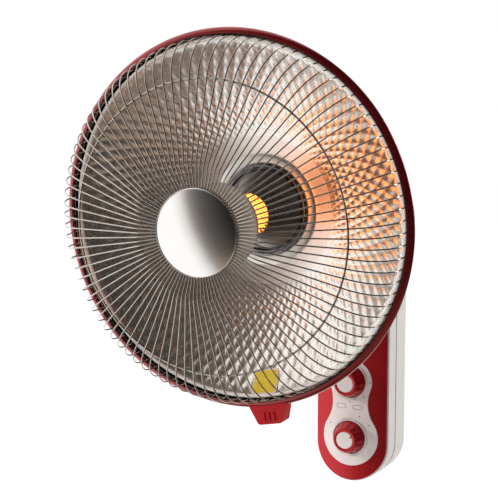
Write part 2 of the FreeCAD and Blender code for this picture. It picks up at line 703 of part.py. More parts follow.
# Overheat cutout on the shell, under the cover
cutout_top = shell_y + CUTOUT_H
cutout_tabs = []
for s in (-1, 1):
    z = HEAD_Z + s * CUTOUT_TAB_Z
    cutout_tabs.append(box(CUTOUT_X - CUTOUT_TAB_T / 2, CUTOUT_X + CUTOUT_TAB_T / 2, cutout_top,
                           cutout_top + CUTOUT_R, z - CUTOUT_TAB_W / 2, z + CUTOUT_TAB_W / 2))
overheat_cutout = fuse(round_y(CUTOUT_R, shell_y, cutout_top, CUTOUT_X, HEAD_Z),
                       round_y(CUTOUT_R - CUTOUT_TAB_T, cutout_top, cutout_top + CUTOUT_H / 2, CUTOUT_X, HEAD_Z),
                       *cutout_tabs)

# Grip tab under the rim, with three ribs on its front
grip_root = -rim_back_r
grip_end = -RIM_R - GRIP_H
half_top = GRIP_TOP_W / 2
half_end = GRIP_END_W / 2
bite = GRIP_ROUND * (1 - math.sqrt(0.5))
grip = Outline(plan, (-half_top, grip_root)).line((-half_top + GRIP_FLARE, grip_root - GRIP_FOOT))
grip.line((-half_end - GRIP_ROUND, grip_end + GRIP_ROUND))
grip.arc((-half_end - bite, grip_end + bite), (-half_end + GRIP_ROUND / 2, grip_end))
grip.line((half_end - GRIP_ROUND / 2, grip_end))
grip.arc((half_end + bite, grip_end + bite), (half_end + GRIP_ROUND, grip_end + GRIP_ROUND))
grip.line((half_top - GRIP_FLARE, grip_root - GRIP_FOOT), (half_top, grip_root))
tab = grip.face().extrude(V(0, 0, GRIP_D))
ribs = []
for i in (-1, 0, 1):
    ribs.append(box(i * RIB_GAP - RIB_W / 2, i * RIB_GAP + RIB_W / 2, grip_end + GRIP_ROUND + 1,
                    -RIM_R - GRIP_FOOT, GRIP_D - RIB_PROUD, GRIP_D + RIB_PROUD))
tab = fuse(tab, *ribs)
tab.Placement = FreeCAD.Placement(V(0, RIM_Y - RIM_BACK - GRIP_SET, HEAD_Z), FreeCAD.Rotation(V(1, 0, 0), 90))
tab.rotate(axis_point, V(0, -1, 0), GRIP_TURN + 90)
rim_plug = Outline(head, (0, RIM_FRONT + PRESS)).line((roll_r, RIM_FRONT + PRESS))
rim_plug.arc((roll_mid[0] + PRESS, roll_mid[1] + PRESS), (RIM_R + PRESS, RIM_EDGE_F))
rim_plug.line((rim_back_r + PRESS, RIM_BACK), (0, RIM_BACK))
grip_tab = tab.cut(spin_head(rim_plug))


# Column: two housings with a bowed front
def column_outline(width, top, bottom, corner):
    w = width / 2
    k = corner * (1 - math.sqrt(0.5))
    out = Outline(front, (-w, bottom + w)).arc((0, bottom), (w, bottom + w)).line((w, top - corner))
    out.arc((w - k, top - k), (w - corner, top)).line((-w + corner, top))
    return out.arc((-w + k, top - k), (-w, top - corner))


def inset_column(inset, y):
    """The column's outline made smaller all round, at depth y."""
    wire = column_outline(COL_W - 2 * inset, COL_TOP - inset, COL_BOTTOM + inset, COL_CORNER).wire()
    wire.translate(V(0, y, 0))
    return wire


def slab(outline, y0, y1):
    """The outline as a plate from y0 to y1."""
    face = outline.face()
    face.translate(V(0, min(y0, y1), 0))
    return face.extrude(V(0, abs(y1 - y0), 0))


def bow(crest):
    """Everything behind a bowed front whose foremost line is at y = crest."""
    low = 2 * COL_BOTTOM
    return Part.makeCylinder(FRONT_CURVE, 2 * COL_TOP - low, V(0, crest + FRONT_CURVE, low))


seam = -COL_SEAM
outer = column_outline(COL_W, COL_TOP, COL_BOTTOM, COL_CORNER)
inner = column_outline(COL_W - 2 * COL_WALL, COL_TOP - COL_WALL, COL_BOTTOM + COL_WALL, COL_CORNER - COL_WALL)
front_inset = (COL_W - PANEL_W) / 2 - FRONT_LAND
front_blank = Part.makeLoft([inset_column(0, seam), inset_column(COL_DRAFT, seam - COL_STRAIGHT),
                             inset_column(front_inset, FRONT_CREST - FRONT_OVER)], True, True)
front_solid = front_blank.common(bow(FRONT_CREST))
front_void = slab(inner, seam + PAST, FRONT_CREST - PAST).common(bow(FRONT_CREST + COL_WALL))
switch_back = FRONT_CREST + COL_WALL + SWITCH_PAD_T
switch_pads = []
knob_holes = []
for z in (HEAT_Z, TIMER_Z):
    switch_pads.append(round_y(SWITCH_PAD_R, FRONT_CREST + COL_WALL / 2, switch_back, 0, z))
    knob_holes.append(round_y(SPINDLE_HOLE_R, FRONT_CREST - PAST, switch_back + PAST, 0, z))
gate_low = ARM_ROOT + ARM_GATE
gate_high = ARM_TOP - ARM_GATE
arm_gate = box(-ARM_W / 4, ARM_W / 4, FRONT_CREST - 2 * PAST, FRONT_CREST + 2 * PAST, gate_low, gate_high)
arm_bolt_at = [(x, z) for x in (-ARM_W / 2 + PAST, ARM_W / 2 - PAST) for z in (gate_low - 2, gate_high + 4)]
arm_holes = []
for x, z in arm_bolt_at:
    arm_holes.append(round_y(ARM_BOLT_R + 3 * FIT, FRONT_CREST - 3 * PAST, FRONT_CREST + PAST, x, z))
boss_x = COL_W / 2 - COL_WALL - 1.9 * BOSS_R
boss_at = [(0.0, COL_TOP - 2.5 * BOSS_R)]
for z in ((HEAT_Z + TIMER_Z) / 2 - 2 * BOSS_R, HEAT_Z + HEAT_SWITCH_W * 2):
    boss_at += [(-boss_x, z), (boss_x, z)]
front_bosses = [round_y(BOSS_R, seam, FRONT_CREST, x, z).common(bow(FRONT_CREST + 1)) for x, z in boss_at]
boss_bores = [round_y(BOSS_SCREW_R + RUN, seam + 1, seam - BOSS_BITE, x, z) for x, z in boss_at]
front_housing = cut(fuse(cut(front_solid, front_void), *(front_bosses + switch_pads)),
                    *(knob_holes + arm_holes + boss_bores + [arm_gate]))

# Rear housing: a tray with a recess at its back for the wall bracket
floor_y = -RECESS - COL_WALL
rear = slab(outer, -WALL_GAP, seam)
rear_void = slab(inner, floor_y, seam - PAST)
recess = slab(inner, PAST, -RECESS)
hook_slots = []
for z in (HOOK_AT, -HOOK_AT):
    hook_slots.append(box(-HOOK_W / 2 - 2, HOOK_W / 2 + 2, floor_y - 1, 1 - RECESS,
                          z - HOOK_RISE - 2.5, z + HOOK_T * 0.3))
rear_bosses = [round_y(BOSS_R, floor_y + 1, seam, x, z) for x, z in boss_at]
rear_bores = [round_y(BOSS_SCREW_R + 3 * FIT, 1, seam - 1, x, z) for x, z in boss_at]
gland_y = (seam + floor_y) / 2
gland_hole = round_z(GLAND_R, COL_BOTTOM - PAST, COL_BOTTOM + PAST, 0, gland_y)
rear_housing = cut(fuse(cut(rear, rear_void, recess), *rear_bosses), *(hook_slots + rear_bores + [gland_hole]))
housing_screws = []
for x, z in boss_at:
    length = COL_SEAM - RECESS + BOSS_BITE - 1
    housing_screws.append(pan_screw(BOSS_SCREW_R, V(x, -RECESS, z), V(0, 1, 0), length))

# Cord gland: a rubber bush in the bottom of the rear housing
neck_r = GLAND_R - FIT
gland_in = COL_BOTTOM + COL_WALL + GLAND_BEAD
gland = Outline(side, (gland_y + GLAND_BORE, COL_BOTTOM - GLAND_FLANGE - FIT))
gland.line((gland_y + GLAND_R + GLAND_FLANGE, COL_BOTTOM - GLAND_FLANGE - FIT))
gland.line((gland_y + GLAND_R + GLAND_FLANGE, COL_BOTTOM - FIT), (gland_y + neck_r, COL_BOTTOM - FIT))
gland.line((gland_y + neck_r, gland_in), (gland_y + GLAND_R + GLAND_BEAD - FIT, gland_in))
gland.line((gland_y + GLAND_R + GLAND_BEAD - FIT, gland_in + GLAND_FLANGE))
gland.line((gland_y + GLAND_BORE, gland_in + GLAND_FLANGE))
cord_gland = gland.face().revolve(V(0, gland_y, 0), V(0, 0, 1), 360)

# Wall bracket: a steel plate with two hooks, screwed to the wall
half_w = BRACKET_W / 2 - BRACKET_CORNER
half_h = BRACKET_H / 2 - BRACKET_CORNER
bracket = [box(-BRACKET_W / 2, BRACKET_W / 2, -BRACKET_T, 0, -half_h, half_h),
           box(-half_w, half_w, -BRACKET_T, 0, -BRACKET_H / 2, BRACKET_H / 2)]
wall_holes = []
for x in (-1, 1):
    for z in (-1, 1):
        bracket.append(round_y(BRACKET_CORNER, -BRACKET_T, 0, x * half_w, z * half_h))
        wall_holes.append(round_y(WALL_HOLE_R, -BRACKET_T - 1, 1, x * WALL_HOLE_X / 2, z * WALL_HOLE_Z / 2))
hook_end = floor_y - HOOK_GAP - HOOK_T
for z in (HOOK_AT, -HOOK_AT):
    bracket.append(box(-HOOK_W / 2, HOOK_W / 2, hook_end, -BRACKET_T, z - HOOK_T * 0.75, z + HOOK_T * 0.25))
    bracket.append(box(-HOOK_W / 2, HOOK_W / 2, hook_end, hook_end + HOOK_T, z - HOOK_T * 0.75, z + HOOK_RISE))
wall_bracket = cut(fuse(*bracket), *wall_holes)

# Red front panel and the figure-of-eight dial plate let into it
panel_front = FRONT_CREST - PANEL_T


def dial_outline(grow):
    """Two circles joined by hollow sides that touch both."""
    r1 = HEAT_LOBE_R + grow
    r2 = TIMER_LOBE_R + grow
    w = WAIST_W / 2 + grow
    apart = HEAT_Z - TIMER_Z
    low = 1.0
    high = 400.0
    for _ in range(80):
        rho = (low + high) / 2
        zc = TIMER_Z + (apart ** 2 + (r2 + rho) ** 2 - (r1 + rho) ** 2) / (2 * apart)
        reach = math.sqrt((r2 + rho) ** 2 - (zc - TIMER_Z) ** 2) - rho
        low, high = (rho, high) if reach < w else (low, rho)
    xc = w + rho
    upper = (xc * r1 / (r1 + rho), HEAT_Z + (zc - HEAT_Z) * r1 / (r1 + rho))
    lower = (xc * r2 / (r2 + rho), TIMER_Z + (zc - TIMER_Z) * r2 / (r2 + rho))
    out = Outline(front, (-upper[0], upper[1])).arc((0, HEAT_Z + r1), upper).arc((w, zc), lower)
    return out.arc((0, TIMER_Z - r2), (-lower[0], lower[1])).arc((-w, zc), (-upper[0], upper[1]))


def bowed_plate(outline, back_crest, front_crest):
    plate = slab(outline, front_crest - 1, back_crest + 2 * PAST)
    return plate.common(bow(front_crest)).cut(bow(back_crest))


panel_outline = column_outline(PANEL_W, PANEL_TOP, COL_BOTTOM + (COL_W - PANEL_W) / 2, PANEL_CORNER)
panel_blank = bowed_plate(panel_outline, FRONT_CREST, panel_front)
front_panel = panel_blank.cut(slab(dial_outline(FIT), panel_front - PAST, FRONT_CREST + 2 * PAST))
dial_front = panel_front - DIAL_PROUD
well_y = dial_front + WELL_D
dial = bowed_plate(dial_outline(0), FRONT_CREST, dial_front)
wells = []
collars = []
dial_holes = []
for z in (HEAT_Z, TIMER_Z):
    wells.append(round_y(WELL_R, dial_front - PAST, well_y, 0, z))
    tube = round_y(KNOB_R + COLLAR_IN + COLLAR_W, dial_front - COLLAR_W, FRONT_CREST + COL_WALL, 0, z)
    room = round_y(KNOB_R + COLLAR_IN, dial_front - PAST, FRONT_CREST + PAST, 0, z)
    collars.append(tube.cut(bow(FRONT_CREST)).cut(room))
    dial_holes.append(round_y(SPINDLE_HOLE_R, dial_front - PAST, FRONT_CREST + PAST, 0, z))
dial_plate = cut(fuse(cut(dial, *wells), *collars), *dial_holes)

# Knobs, with their discs and spindles
knob_back = well_y - KNOB_LIFT
knob_front = knob_back - KNOB_H
flute_lean = math.degrees(math.atan2(KNOB_R - KNOB_FACE_R, KNOB_H))


def knob(z):
    def at(r, d):
        return V(r, knob_back - d, z)

    bite = KNOB_EDGE * (1 - math.sqrt(0.5))
    shape = Outline(at, (0, 0)).line((KNOB_R, 0), (KNOB_R, KNOB_SKIRT), (KNOB_FACE_R, KNOB_H - KNOB_EDGE))
    shape.arc((KNOB_FACE_R - bite, KNOB_H - bite), (KNOB_FACE_R - KNOB_EDGE, KNOB_H))
    seat = KNOB_H - KNOB_DISC_T
    shape.line((KNOB_DISC_R + FIT, KNOB_H), (KNOB_DISC_R + FIT, seat), (0, seat))
    body = shape.face().revolve(V(0, 0, z), V(0, 1, 0), 360)
    foot = at(KNOB_R + FLUTE_R - FLUTE_D, KNOB_SKIRT * 1.2)
    flute = Part.makeCylinder(FLUTE_R, KNOB_H + PAST, foot, V(0, -1, 0))
    flute.rotate(foot, V(0, 0, 1), -flute_lean)
    flutes = copies_about(flute, FLUTE_COUNT, V(0, 0, z), V(0, 1, 0), 180.0 / FLUTE_COUNT)
    bore = round_y(SPINDLE_R + PRESS, knob_front + KNOB_TOP_T, knob_back + PAST, 0, z)
    return body.cut(flutes + [bore])


def knob_disc(z, pointer):
    """The disc in the knob's face, with a notch as its pointer at an angle from the level line."""
    disc = round_y(KNOB_DISC_R, knob_front - KNOB_DISC_PROUD, knob_front + KNOB_DISC_T, 0, z)
    notch = box(KNOB_DISC_R - POINTER_L, KNOB_DISC_R + PAST, knob_front - PAST, knob_front + KNOB_DISC_T / 2,
                z - POINTER_W / 2, z + POINTER_W / 2)
    notch.rotate(V(0, 0, z), V(0, -1, 0), pointer)
    return disc.cut(notch)


def spindle(z, depth):
    end = switch_back + depth
    rod = round_y(SPINDLE_R, knob_front + KNOB_TOP_T + KNOB_LIFT, end, 0, z)
    return fuse(rod, round_y(SPINDLE_R + SPINDLE_FOOT, end - SPINDLE_FOOT_T, end, 0, z))


def switch_bores(z, depth):
    """Bearing bore and the room for the foot of the spindle."""
    end = switch_back + depth
    return [round_y(SPINDLE_R + RUN, FRONT_CREST - PAST, end, 0, z),
            round_y(SPINDLE_R + SPINDLE_FOOT + FIT, end - SPINDLE_FOOT_T - FIT, end + FIT, 0, z)]


bush_front = FRONT_CREST - 1.0
heat_half = HEAT_SWITCH_W / 2
heat_back = switch_back + HEAT_DEPTH + SWITCH_BACK_T
timer_back = switch_back + TIMER_DEPTH + SWITCH_BACK_T
heat_tabs = []
for i in (-1.5, -0.5, 0.5, 1.5):
    for s in (-1, 1):
        x = i * heat_half * 0.45
        z = HEAT_Z + s * heat_half / 2
        heat_tabs.append(box(x - TAB_T / 2, x + TAB_T / 2, heat_back, heat_back + TAB_L,
                             z - TAB_L / 2, z + TAB_L / 2))
heat_case = box(-heat_half, heat_half, switch_back, heat_back, HEAT_Z - heat_half, HEAT_Z + heat_half)
heat_bush = round_y(SPINDLE_HOLE_R - FIT, bush_front, switch_back, 0, HEAT_Z)
heat_switch = cut(fuse(heat_case, heat_bush, *heat_tabs), *switch_bores(HEAT_Z, HEAT_DEPTH))
timer_unit = cut(fuse(round_y(TIMER_R, switch_back, timer_back, 0, TIMER_Z),
                      box(-TIMER_R - 2, TIMER_R + 2, switch_back, switch_back + 2, TIMER_Z - 8, TIMER_Z + 8),
                      round_y(SPINDLE_HOLE_R - FIT, bush_front, switch_back, 0, TIMER_Z),
                      round_y(TIMER_R * 0.4, timer_back, timer_back + 2, TIMER_R / 4, TIMER_Z + TIMER_R / 4)),
                 *switch_bores(TIMER_Z, TIMER_DEPTH))

# Terminal block on the floor of the rear housing
block = box(-BLOCK_W / 2, BLOCK_W / 2, floor_y - BLOCK_D, floor_y, BLOCK_Z - BLOCK_H / 2, BLOCK_Z + BLOCK_H / 2)
well_floor = floor_y - BLOCK_D / 2
terminal_wells = []
terminal_screws = []
for i in (-1.5, -0.5, 0.5, 1.5):
    for s in (-1, 1):
        x = i * TERMINAL_PITCH
        z = BLOCK_Z + s * BLOCK_H * 0.28
        terminal_wells.append(round_y(TERMINAL_R, floor_y - BLOCK_D - 1, well_floor, x, z))
        terminal_screws.append(pan_screw(TERMINAL_SCREW_R, V(x, well_floor - 2, z), V(0, -1, 0), 2))
terminal_block = block.cut(terminal_wells)


# Arm from the column to the swing line
def arm_block(shrink, top):
    """The arm's outside made smaller all round by shrink."""
    half = ARM_W / 2 - shrink
    low = ARM_ROOT - 3 * PAST
    out = Outline(plan, (half, 0)).line((half, SWING_Y))
    out.arc((0, SWING_Y - half), (-half, SWING_Y)).line((-half, 0))
    floor = out.face()
    floor.translate(V(0, 0, low))
    block = floor.extrude(V(0, 0, top - low))
    nose = SWING_Y - half - 1
    tip = ARM_TIP + shrink
    root = ARM_ROOT + shrink
    under = Outline(side, (0, top)).line((nose, top), (nose, tip + ARM_NOSE))
    under.curve((nose, tip), (nose + 2 * ARM_NOSE + 1, tip)).line((SWING_Y + 4 * PAST, tip - ARM_FALL))
    under.curve((FRONT_CREST - ARM_FALL, root + ARM_FALL - 2), (FRONT_CREST + ARM_FALL - 2, root - ARM_FALL))
    under.line((0, root - ARM_FALL))
    face = under.face()
    face.translate(V(-ARM_W, 0, 0))
    return block.common(face.extrude(V(2 * ARM_W, 0, 0)))


crank_y = SWING_Y + CRANK_REACH
throw = CRANK_REACH * math.sin(math.radians(SWING_LIMIT))
lid_low = ARM_TOP - LID_T
motor_r = ARM_W / 2 - ARM_WALL - MOTOR_ROOM
motor_low = MOTOR_TOP - MOTOR_H
ear_x = motor_r + MOTOR_EAR
lid_screw_x = ARM_W / 2 - ARM_WALL - LID_POST_R + POST_SINK
lid_at = [(-lid_screw_x, FRONT_CREST - 2 * PAST), (lid_screw_x, FRONT_CREST - 2 * PAST)]
lid_at += [(-ARM_W / 3, SWING_Y - ARM_W / 3.3), (ARM_W / 3, SWING_Y - ARM_W / 3.3)]
arm_hull = arm_block(0, lid_low).cut(bow(FRONT_CREST))
arm_void = arm_block(ARM_WALL, lid_low).cut(bow(FRONT_CREST - ARM_WALL))
arm_inside = arm_block(ARM_WALL / 2, lid_low)
arm_posts = []
arm_bores = [arm_gate]
for x in (-ear_x, ear_x):
    post = round_z(MOTOR_EAR * 0.75, ARM_ROOT - PAST, MOTOR_TOP - MOTOR_EAR_T, x, crank_y)
    arm_posts.append(post.common(arm_inside))
    arm_bores.append(round_z(LID_SCREW_R + RUN, MOTOR_TOP - 2 * POST_BITE, MOTOR_TOP, x, crank_y))
for x, y in lid_at:
    arm_posts.append(round_z(LID_POST_R, ARM_ROOT - PAST, lid_low, x, y).common(arm_inside))
    arm_bores.append(round_z(LID_SCREW_R + RUN, lid_low - POST_BITE - 2, lid_low + 1, x, y))
for x, z in arm_bolt_at:
    post = round_y(ARM_BOLT_R * 2.6, FRONT_CREST - POST_BITE - 2, FRONT_CREST + 2 * PAST, x, z)
    arm_posts.append(post.cut(bow(FRONT_CREST)))
    arm_bores.append(round_y(ARM_BOLT_R + RUN, FRONT_CREST - POST_BITE - 2, FRONT_CREST + 2 * PAST, x, z))
arm_body = cut(fuse(cut(arm_hull, arm_void), *arm_posts), *arm_bores)
arm_bolts = []
for x, z in arm_bolt_at:
    seat_y = FRONT_CREST + COL_WALL + FRONT_CURVE - math.sqrt(FRONT_CURVE ** 2 - (abs(x) + 2 * ARM_BOLT_R) ** 2)
    arm_bolts.append(pan_screw(ARM_BOLT_R, V(x, seat_y, z), V(0, 1, 0), POST_BITE + COL_WALL))

# Lid of the arm, with the bush that the head swings in
bush_r = PIVOT_R + RUN + BUSH_WALL
lever_top = LEVER_Z + LEVER_T
bush_low = lever_top + 1.2
lid_blank = arm_block(0, ARM_TOP).cut(bow(FRONT_CREST)).common(
    box(-ARM_W, ARM_W, SWING_Y - ARM_W, 0, lid_low, ARM_TOP))
lid_boss = round_z(bush_r + BUSH_WALL, bush_low + 2, ARM_TOP, 0, SWING_Y)
lid_holes = [round_z(bush_r + PRESS, bush_low - PAST, ARM_TOP + PAST, 0, SWING_Y)]
lid_screws = []
for x, y in lid_at:
    lid_holes.append(round_z(LID_SCREW_R + 2 * FIT, lid_low - 1, ARM_TOP + 1, x, y))
    lid_holes.append(round_z(LID_SCREW_R * 2 + FIT, ARM_TOP - LID_SINK, ARM_TOP + 1, x, y))
    lid_screws.append(pan_screw(LID_SCREW_R, V(x, y, ARM_TOP - LID_SINK), V(0, 0, 1), POST_BITE))
arm_lid = cut(fuse(lid_blank, lid_boss), *lid_holes)
swing_bush = cut(fuse(round_z(bush_r, bush_low, ARM_TOP, 0, SWING_Y),
                      round_z(bush_r + BUSH_FLANGE, ARM_TOP, ARM_TOP + TABLE_GAP - RUN, 0, SWING_Y)),
                 round_z(PIVOT_R + RUN, bush_low - PAST, ARM_TOP + PAST, 0, SWING_Y))

# Swing motor, its crank and the slotted lever on the neck
crank_low = MOTOR_TOP + 2.0
crank_top = crank_low + CRANK_T
motor_ears = box(-ear_x - 3, ear_x + 3, crank_y - MOTOR_EAR, crank_y + MOTOR_EAR,
                 MOTOR_TOP - MOTOR_EAR_T, MOTOR_TOP)
motor_plug = box(-8, 8, crank_y + motor_r - 3, crank_y + motor_r + MOTOR_EAR, motor_low + 2, motor_low + 12)
motor_bores = [round_z(SPINDLE_R + RUN, motor_low + 6, MOTOR_TOP + 2, 0, crank_y)]
motor_screws = []
for x in (-ear_x, ear_x):
    motor_bores.append(round_z(LID_SCREW_R + FIT, MOTOR_TOP - 5, MOTOR_TOP + 1, x, crank_y))
    motor_screws.append(pan_screw(LID_SCREW_R, V(x, crank_y, MOTOR_TOP), V(0, 0, 1), POST_BITE))
swing_motor = cut(fuse(round_z(motor_r, motor_low, MOTOR_TOP, 0, crank_y), motor_ears, motor_plug,
                       round_z(SPINDLE_R + 2, MOTOR_TOP, crank_low - 0.8, 0, crank_y)), *motor_bores)
swing_crank = fuse(round_z(throw + CRANK_EDGE, crank_low, crank_top, 0, crank_y),
                   round_z(SPINDLE_R, motor_low + 7, crank_top + 1, 0, crank_y),
                   round_z(CRANK_PIN_R, crank_low, lever_top + 2, 0, crank_y + throw))
slot_half = CRANK_PIN_R + SLOT_PLAY
lever_half = slot_half + LEVER_RIM
slot_in = SWING_Y + CRANK_REACH - throw
slot_out = SWING_Y + CRANK_REACH + throw
lever = Outline(plan, (-lever_half, SWING_Y)).line((-lever_half, slot_out))
lever.arc((0, slot_out + lever_half), (lever_half, slot_out)).line((lever_half, SWING_Y))
lever_face = lever.face()
lever_face.translate(V(0, 0, LEVER_Z))
slot_cut = fuse(box(-slot_half, slot_half, slot_in, slot_out, LEVER_Z - 1, lever_top + 1),
                round_z(slot_half, LEVER_Z - 1, lever_top + 1, 0, slot_out))
lever_hub = round_z(PIVOT_R + HUB_RIM, LEVER_Z, lever_top, 0, SWING_Y)
swing_lever = cut(fuse(lever_face.extrude(V(0, 0, LEVER_T)), lever_hub), slot_cut,
                  round_z(PIVOT_R + PRESS, LEVER_Z - 1, lever_top + 1, 0, SWING_Y))

# Neck: a turntable on the arm, its pivot tube and a post up to the tilt knuckle
table_z = ARM_TOP + TABLE_GAP
table_top = table_z + TABLE_T
bevel_z = table_top - TABLE_BEVEL
clip_z = LEVER_Z - CLIP_T
pivot_end = clip_z - 2.0
groove_r = PIVOT_R - CLIP_GROOVE
wire_exit_z = HEAD_Z - KNUCKLE_R - 3 * PIVOT_BORE
neck_base = fuse(round_z(TABLE_R, table_z, bevel_z, 0, SWING_Y),
                 Part.makeCone(TABLE_R, TABLE_R - 2 * TABLE_BEVEL, TABLE_BEVEL, V(0, SWING_Y, bevel_z)))
post_h = HEAD_Z - TILT_R - table_top
post_cone = Part.makeCone(TABLE_R - POST_FOOT, POST_TOP_R, post_h, V(0, SWING_Y, table_top))
knuckle = round_x(KNUCKLE_R, -KNUCKLE_W / 2, KNUCKLE_W / 2, SWING_Y, HEAD_Z)
groove_core = round_z(groove_r, clip_z, LEVER_Z, 0, SWING_Y)
clip_groove = round_z(PIVOT_R + 1, clip_z, LEVER_Z, 0, SWING_Y).cut(groove_core)
swing_neck = cut(fuse(neck_base, post_cone, knuckle, round_z(PIVOT_R, pivot_end, table_top, 0, SWING_Y)),
                 round_x(TILT_R + RUN, -KNUCKLE_W, KNUCKLE_W, SWING_Y, HEAD_Z), clip_groove,
                 round_z(PIVOT_BORE, pivot_end - 1, wire_exit_z + PIVOT_BORE, 0, SWING_Y),
                 round_y(PIVOT_BORE - 1, SWING_Y - 4 * PAST, SWING_Y, 0, wire_exit_z))
lever_clip = cut(round_z(PIVOT_R + 3, clip_z + 2 * RUN, LEVER_Z, 0, SWING_Y),
                 round_z(groove_r + PRESS, clip_z - 1, LEVER_Z + 1, 0, SWING_Y),
                 box(-4, 4, SWING_Y - PIVOT_R - PAST, SWING_Y - 4, clip_z - 1, LEVER_Z + 1))

export("wall_bracket", wall_bracket)
export("rear_housing", rear_housing)
export("front_housing", front_housing)
export("housing_screws", *housing_screws)
export("cord_gland", cord_gland)
export("terminal_block", terminal_block)
export("terminal_screws", *terminal_screws)
export("front_panel", front_panel)
export("dial_plate", dial_plate)
export("heat_switch", heat_switch)
export("timer_unit", timer_unit)
export("heat_knob", knob(HEAT_Z))
export("heat_knob_disc", knob_disc(HEAT_Z, HEAT_POINTER))
export("heat_spindle", spindle(HEAT_Z, HEAT_DEPTH))
export("timer_knob", knob(TIMER_Z))
export("timer_knob_disc", knob_disc(TIMER_Z, TIMER_POINTER))
export("timer_spindle", spindle(TIMER_Z, TIMER_DEPTH))
export("arm_body", arm_body)
export("arm_bolts", *arm_bolts)
export("arm_lid", arm_lid)
export("lid_screws", *lid_screws)
export("swing_bush", swing_bush)
export("swing_motor", swing_motor)
export("motor_screws", *motor_screws)
export("swing_crank", swing_crank)
export("swing_neck", swing_neck)
export("swing_lever", swing_lever)
export("lever_clip", lever_clip)
export("hinge_bracket", hinge_bracket)
export("tilt_bolt", tilt_bolt)
export("tilt_nut", tilt_nut)
export("friction_washers", *friction_washers)
export("back_shell", back_shell)
export("rear_cover", rear_cover)
export("cover_screws", *cover_screws)
export("overheat_cutout", overheat_cutout)
export("rim_ring", rim_ring)
export("grip_tab", grip_tab)
export("reflector", reflector)
export("core_cone", core_cone)
export("ceramic_core", ceramic_core)
export("heating_coil", heating_coil)
export("core_disc", core_disc)
export("core_stud", core_stud)
export("core_nuts", *core_nuts)
export("core_socket", core_socket)
export("guard_wires", *guard_wires)
export("guard_mid_ring", guard_mid_ring)
export("guard_end_ring", guard_end_ring)
export("guard_inner_ring", guard_inner_ring)
export("guard_cap", guard_cap)
export("guard_plate", guard_plate)
export("cap_screw", cap_screw)
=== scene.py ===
# %% [markdown]
# # A wall heater with a dish reflector
# The heater is a wide polished dish with a glowing core, behind a cage of thin wires. It hangs on a slim white
# column with a red front and two knobs. The solids come from the CAD model, so their places and sizes are known.
# This lesson gives them finishes, and makes again in finer form the pieces that the eye goes to first.

# %% Load the frame
import math

import bmesh
import bpy
import numpy as np
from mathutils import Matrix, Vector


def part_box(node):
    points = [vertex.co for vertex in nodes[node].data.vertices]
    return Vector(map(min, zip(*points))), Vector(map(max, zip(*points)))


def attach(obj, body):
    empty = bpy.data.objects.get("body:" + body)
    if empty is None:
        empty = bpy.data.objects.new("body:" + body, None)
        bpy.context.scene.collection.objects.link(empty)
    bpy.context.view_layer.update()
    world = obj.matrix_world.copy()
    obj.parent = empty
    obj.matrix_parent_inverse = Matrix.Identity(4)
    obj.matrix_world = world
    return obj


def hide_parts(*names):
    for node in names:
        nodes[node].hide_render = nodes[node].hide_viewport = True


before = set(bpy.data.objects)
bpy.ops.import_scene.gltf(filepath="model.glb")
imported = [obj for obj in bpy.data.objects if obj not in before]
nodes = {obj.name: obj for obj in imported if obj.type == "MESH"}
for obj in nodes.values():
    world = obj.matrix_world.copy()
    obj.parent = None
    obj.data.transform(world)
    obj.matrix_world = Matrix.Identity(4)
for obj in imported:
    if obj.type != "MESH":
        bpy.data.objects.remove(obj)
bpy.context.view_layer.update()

# %% [markdown]
# ## Where things are
# Almost everything on the head is round about one level axis. A point there is told by three numbers: its radius
# from the axis, how far it stands forward of the rim plane, and its turn from the level line. We read the axis from
# the CAD rim instead of typing it again, so that the pieces can't drift away from their solids. Lengths on the heater
# are written in millimetres, and MM turns them to metres.

# %% Axis of the head
MM = 0.001
RIM_FRONT = 4.2
rim_low, rim_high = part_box("rim_ring")
AXIS_Z = (rim_low.z + rim_high.z) / 2
RIM_PLANE = rim_low.y + RIM_FRONT * MM


def on_head(r, f, turn):
    """Radius r and forward distance f in mm, and turn in radians, as points in metres:
    x = r cos(turn), y = rim plane - f, z = axis height + r sin(turn)."""
    r, f, turn = np.broadcast_arrays(np.asarray(r, float), np.asarray(f, float), np.asarray(turn, float))
    return np.stack([MM * r * np.cos(turn), RIM_PLANE - MM * f, AXIS_Z + MM * r * np.sin(turn)], axis=-1)


print("dish axis at z = %.3f m, rim plane at y = %.3f m" % (AXIS_Z, RIM_PLANE))

# %% [markdown]
# ## Camera
# The photograph looks at the heater from its right and a little from above, through a long lens from about two
# metres. The camera is built from its three directions, right, up and back, because then nothing has to be
# turned by hand. The aim is a point near the middle of the rim, moved so that the frame matches.

# %% Camera
AZIMUTH = math.radians(25.92)
ELEVATION = math.radians(10.70)
DISTANCE = 2.0
PIXELS, PIXELS_PER_MM = 500, 1.013
AIM_RIGHT, AIM_DOWN = 15.07, 29.8
SENSOR = 36.0

view_width = PIXELS / PIXELS_PER_MM * MM
right = np.array([math.cos(AZIMUTH), math.sin(AZIMUTH), 0.0])
back = np.array([math.sin(AZIMUTH) * math.cos(ELEVATION), -math.cos(AZIMUTH) * math.cos(ELEVATION),
                 math.sin(ELEVATION)])
up = np.cross(back, right)
aim = np.array([0.0, RIM_PLANE, AXIS_Z]) + AIM_RIGHT * MM * right - AIM_DOWN * MM * up
place = aim + DISTANCE * back

camera = bpy.data.objects.new("camera", bpy.data.cameras.new("camera"))
camera.data.sensor_width = SENSOR
camera.data.lens = SENSOR * DISTANCE / view_width
pose = np.eye(4)
pose[:3, 0], pose[:3, 1], pose[:3, 2], pose[:3, 3] = right, up, back, place
camera.matrix_world = pose.T.tolist()
bpy.context.scene.collection.objects.link(camera)
bpy.context.scene.camera = camera
print("camera at", np.round(place, 3), "lens %.1f mm" % camera.data.lens)

# %% [markdown]
# ## Colours and nodes
# Colours are written as people read them, in hex, and one function turns them to the linear values that shaders
# use. A second small function adds a node, sets it up and links it, and a third gives a ramp its colours. Everything
# else is plain lists of what a finish needs.

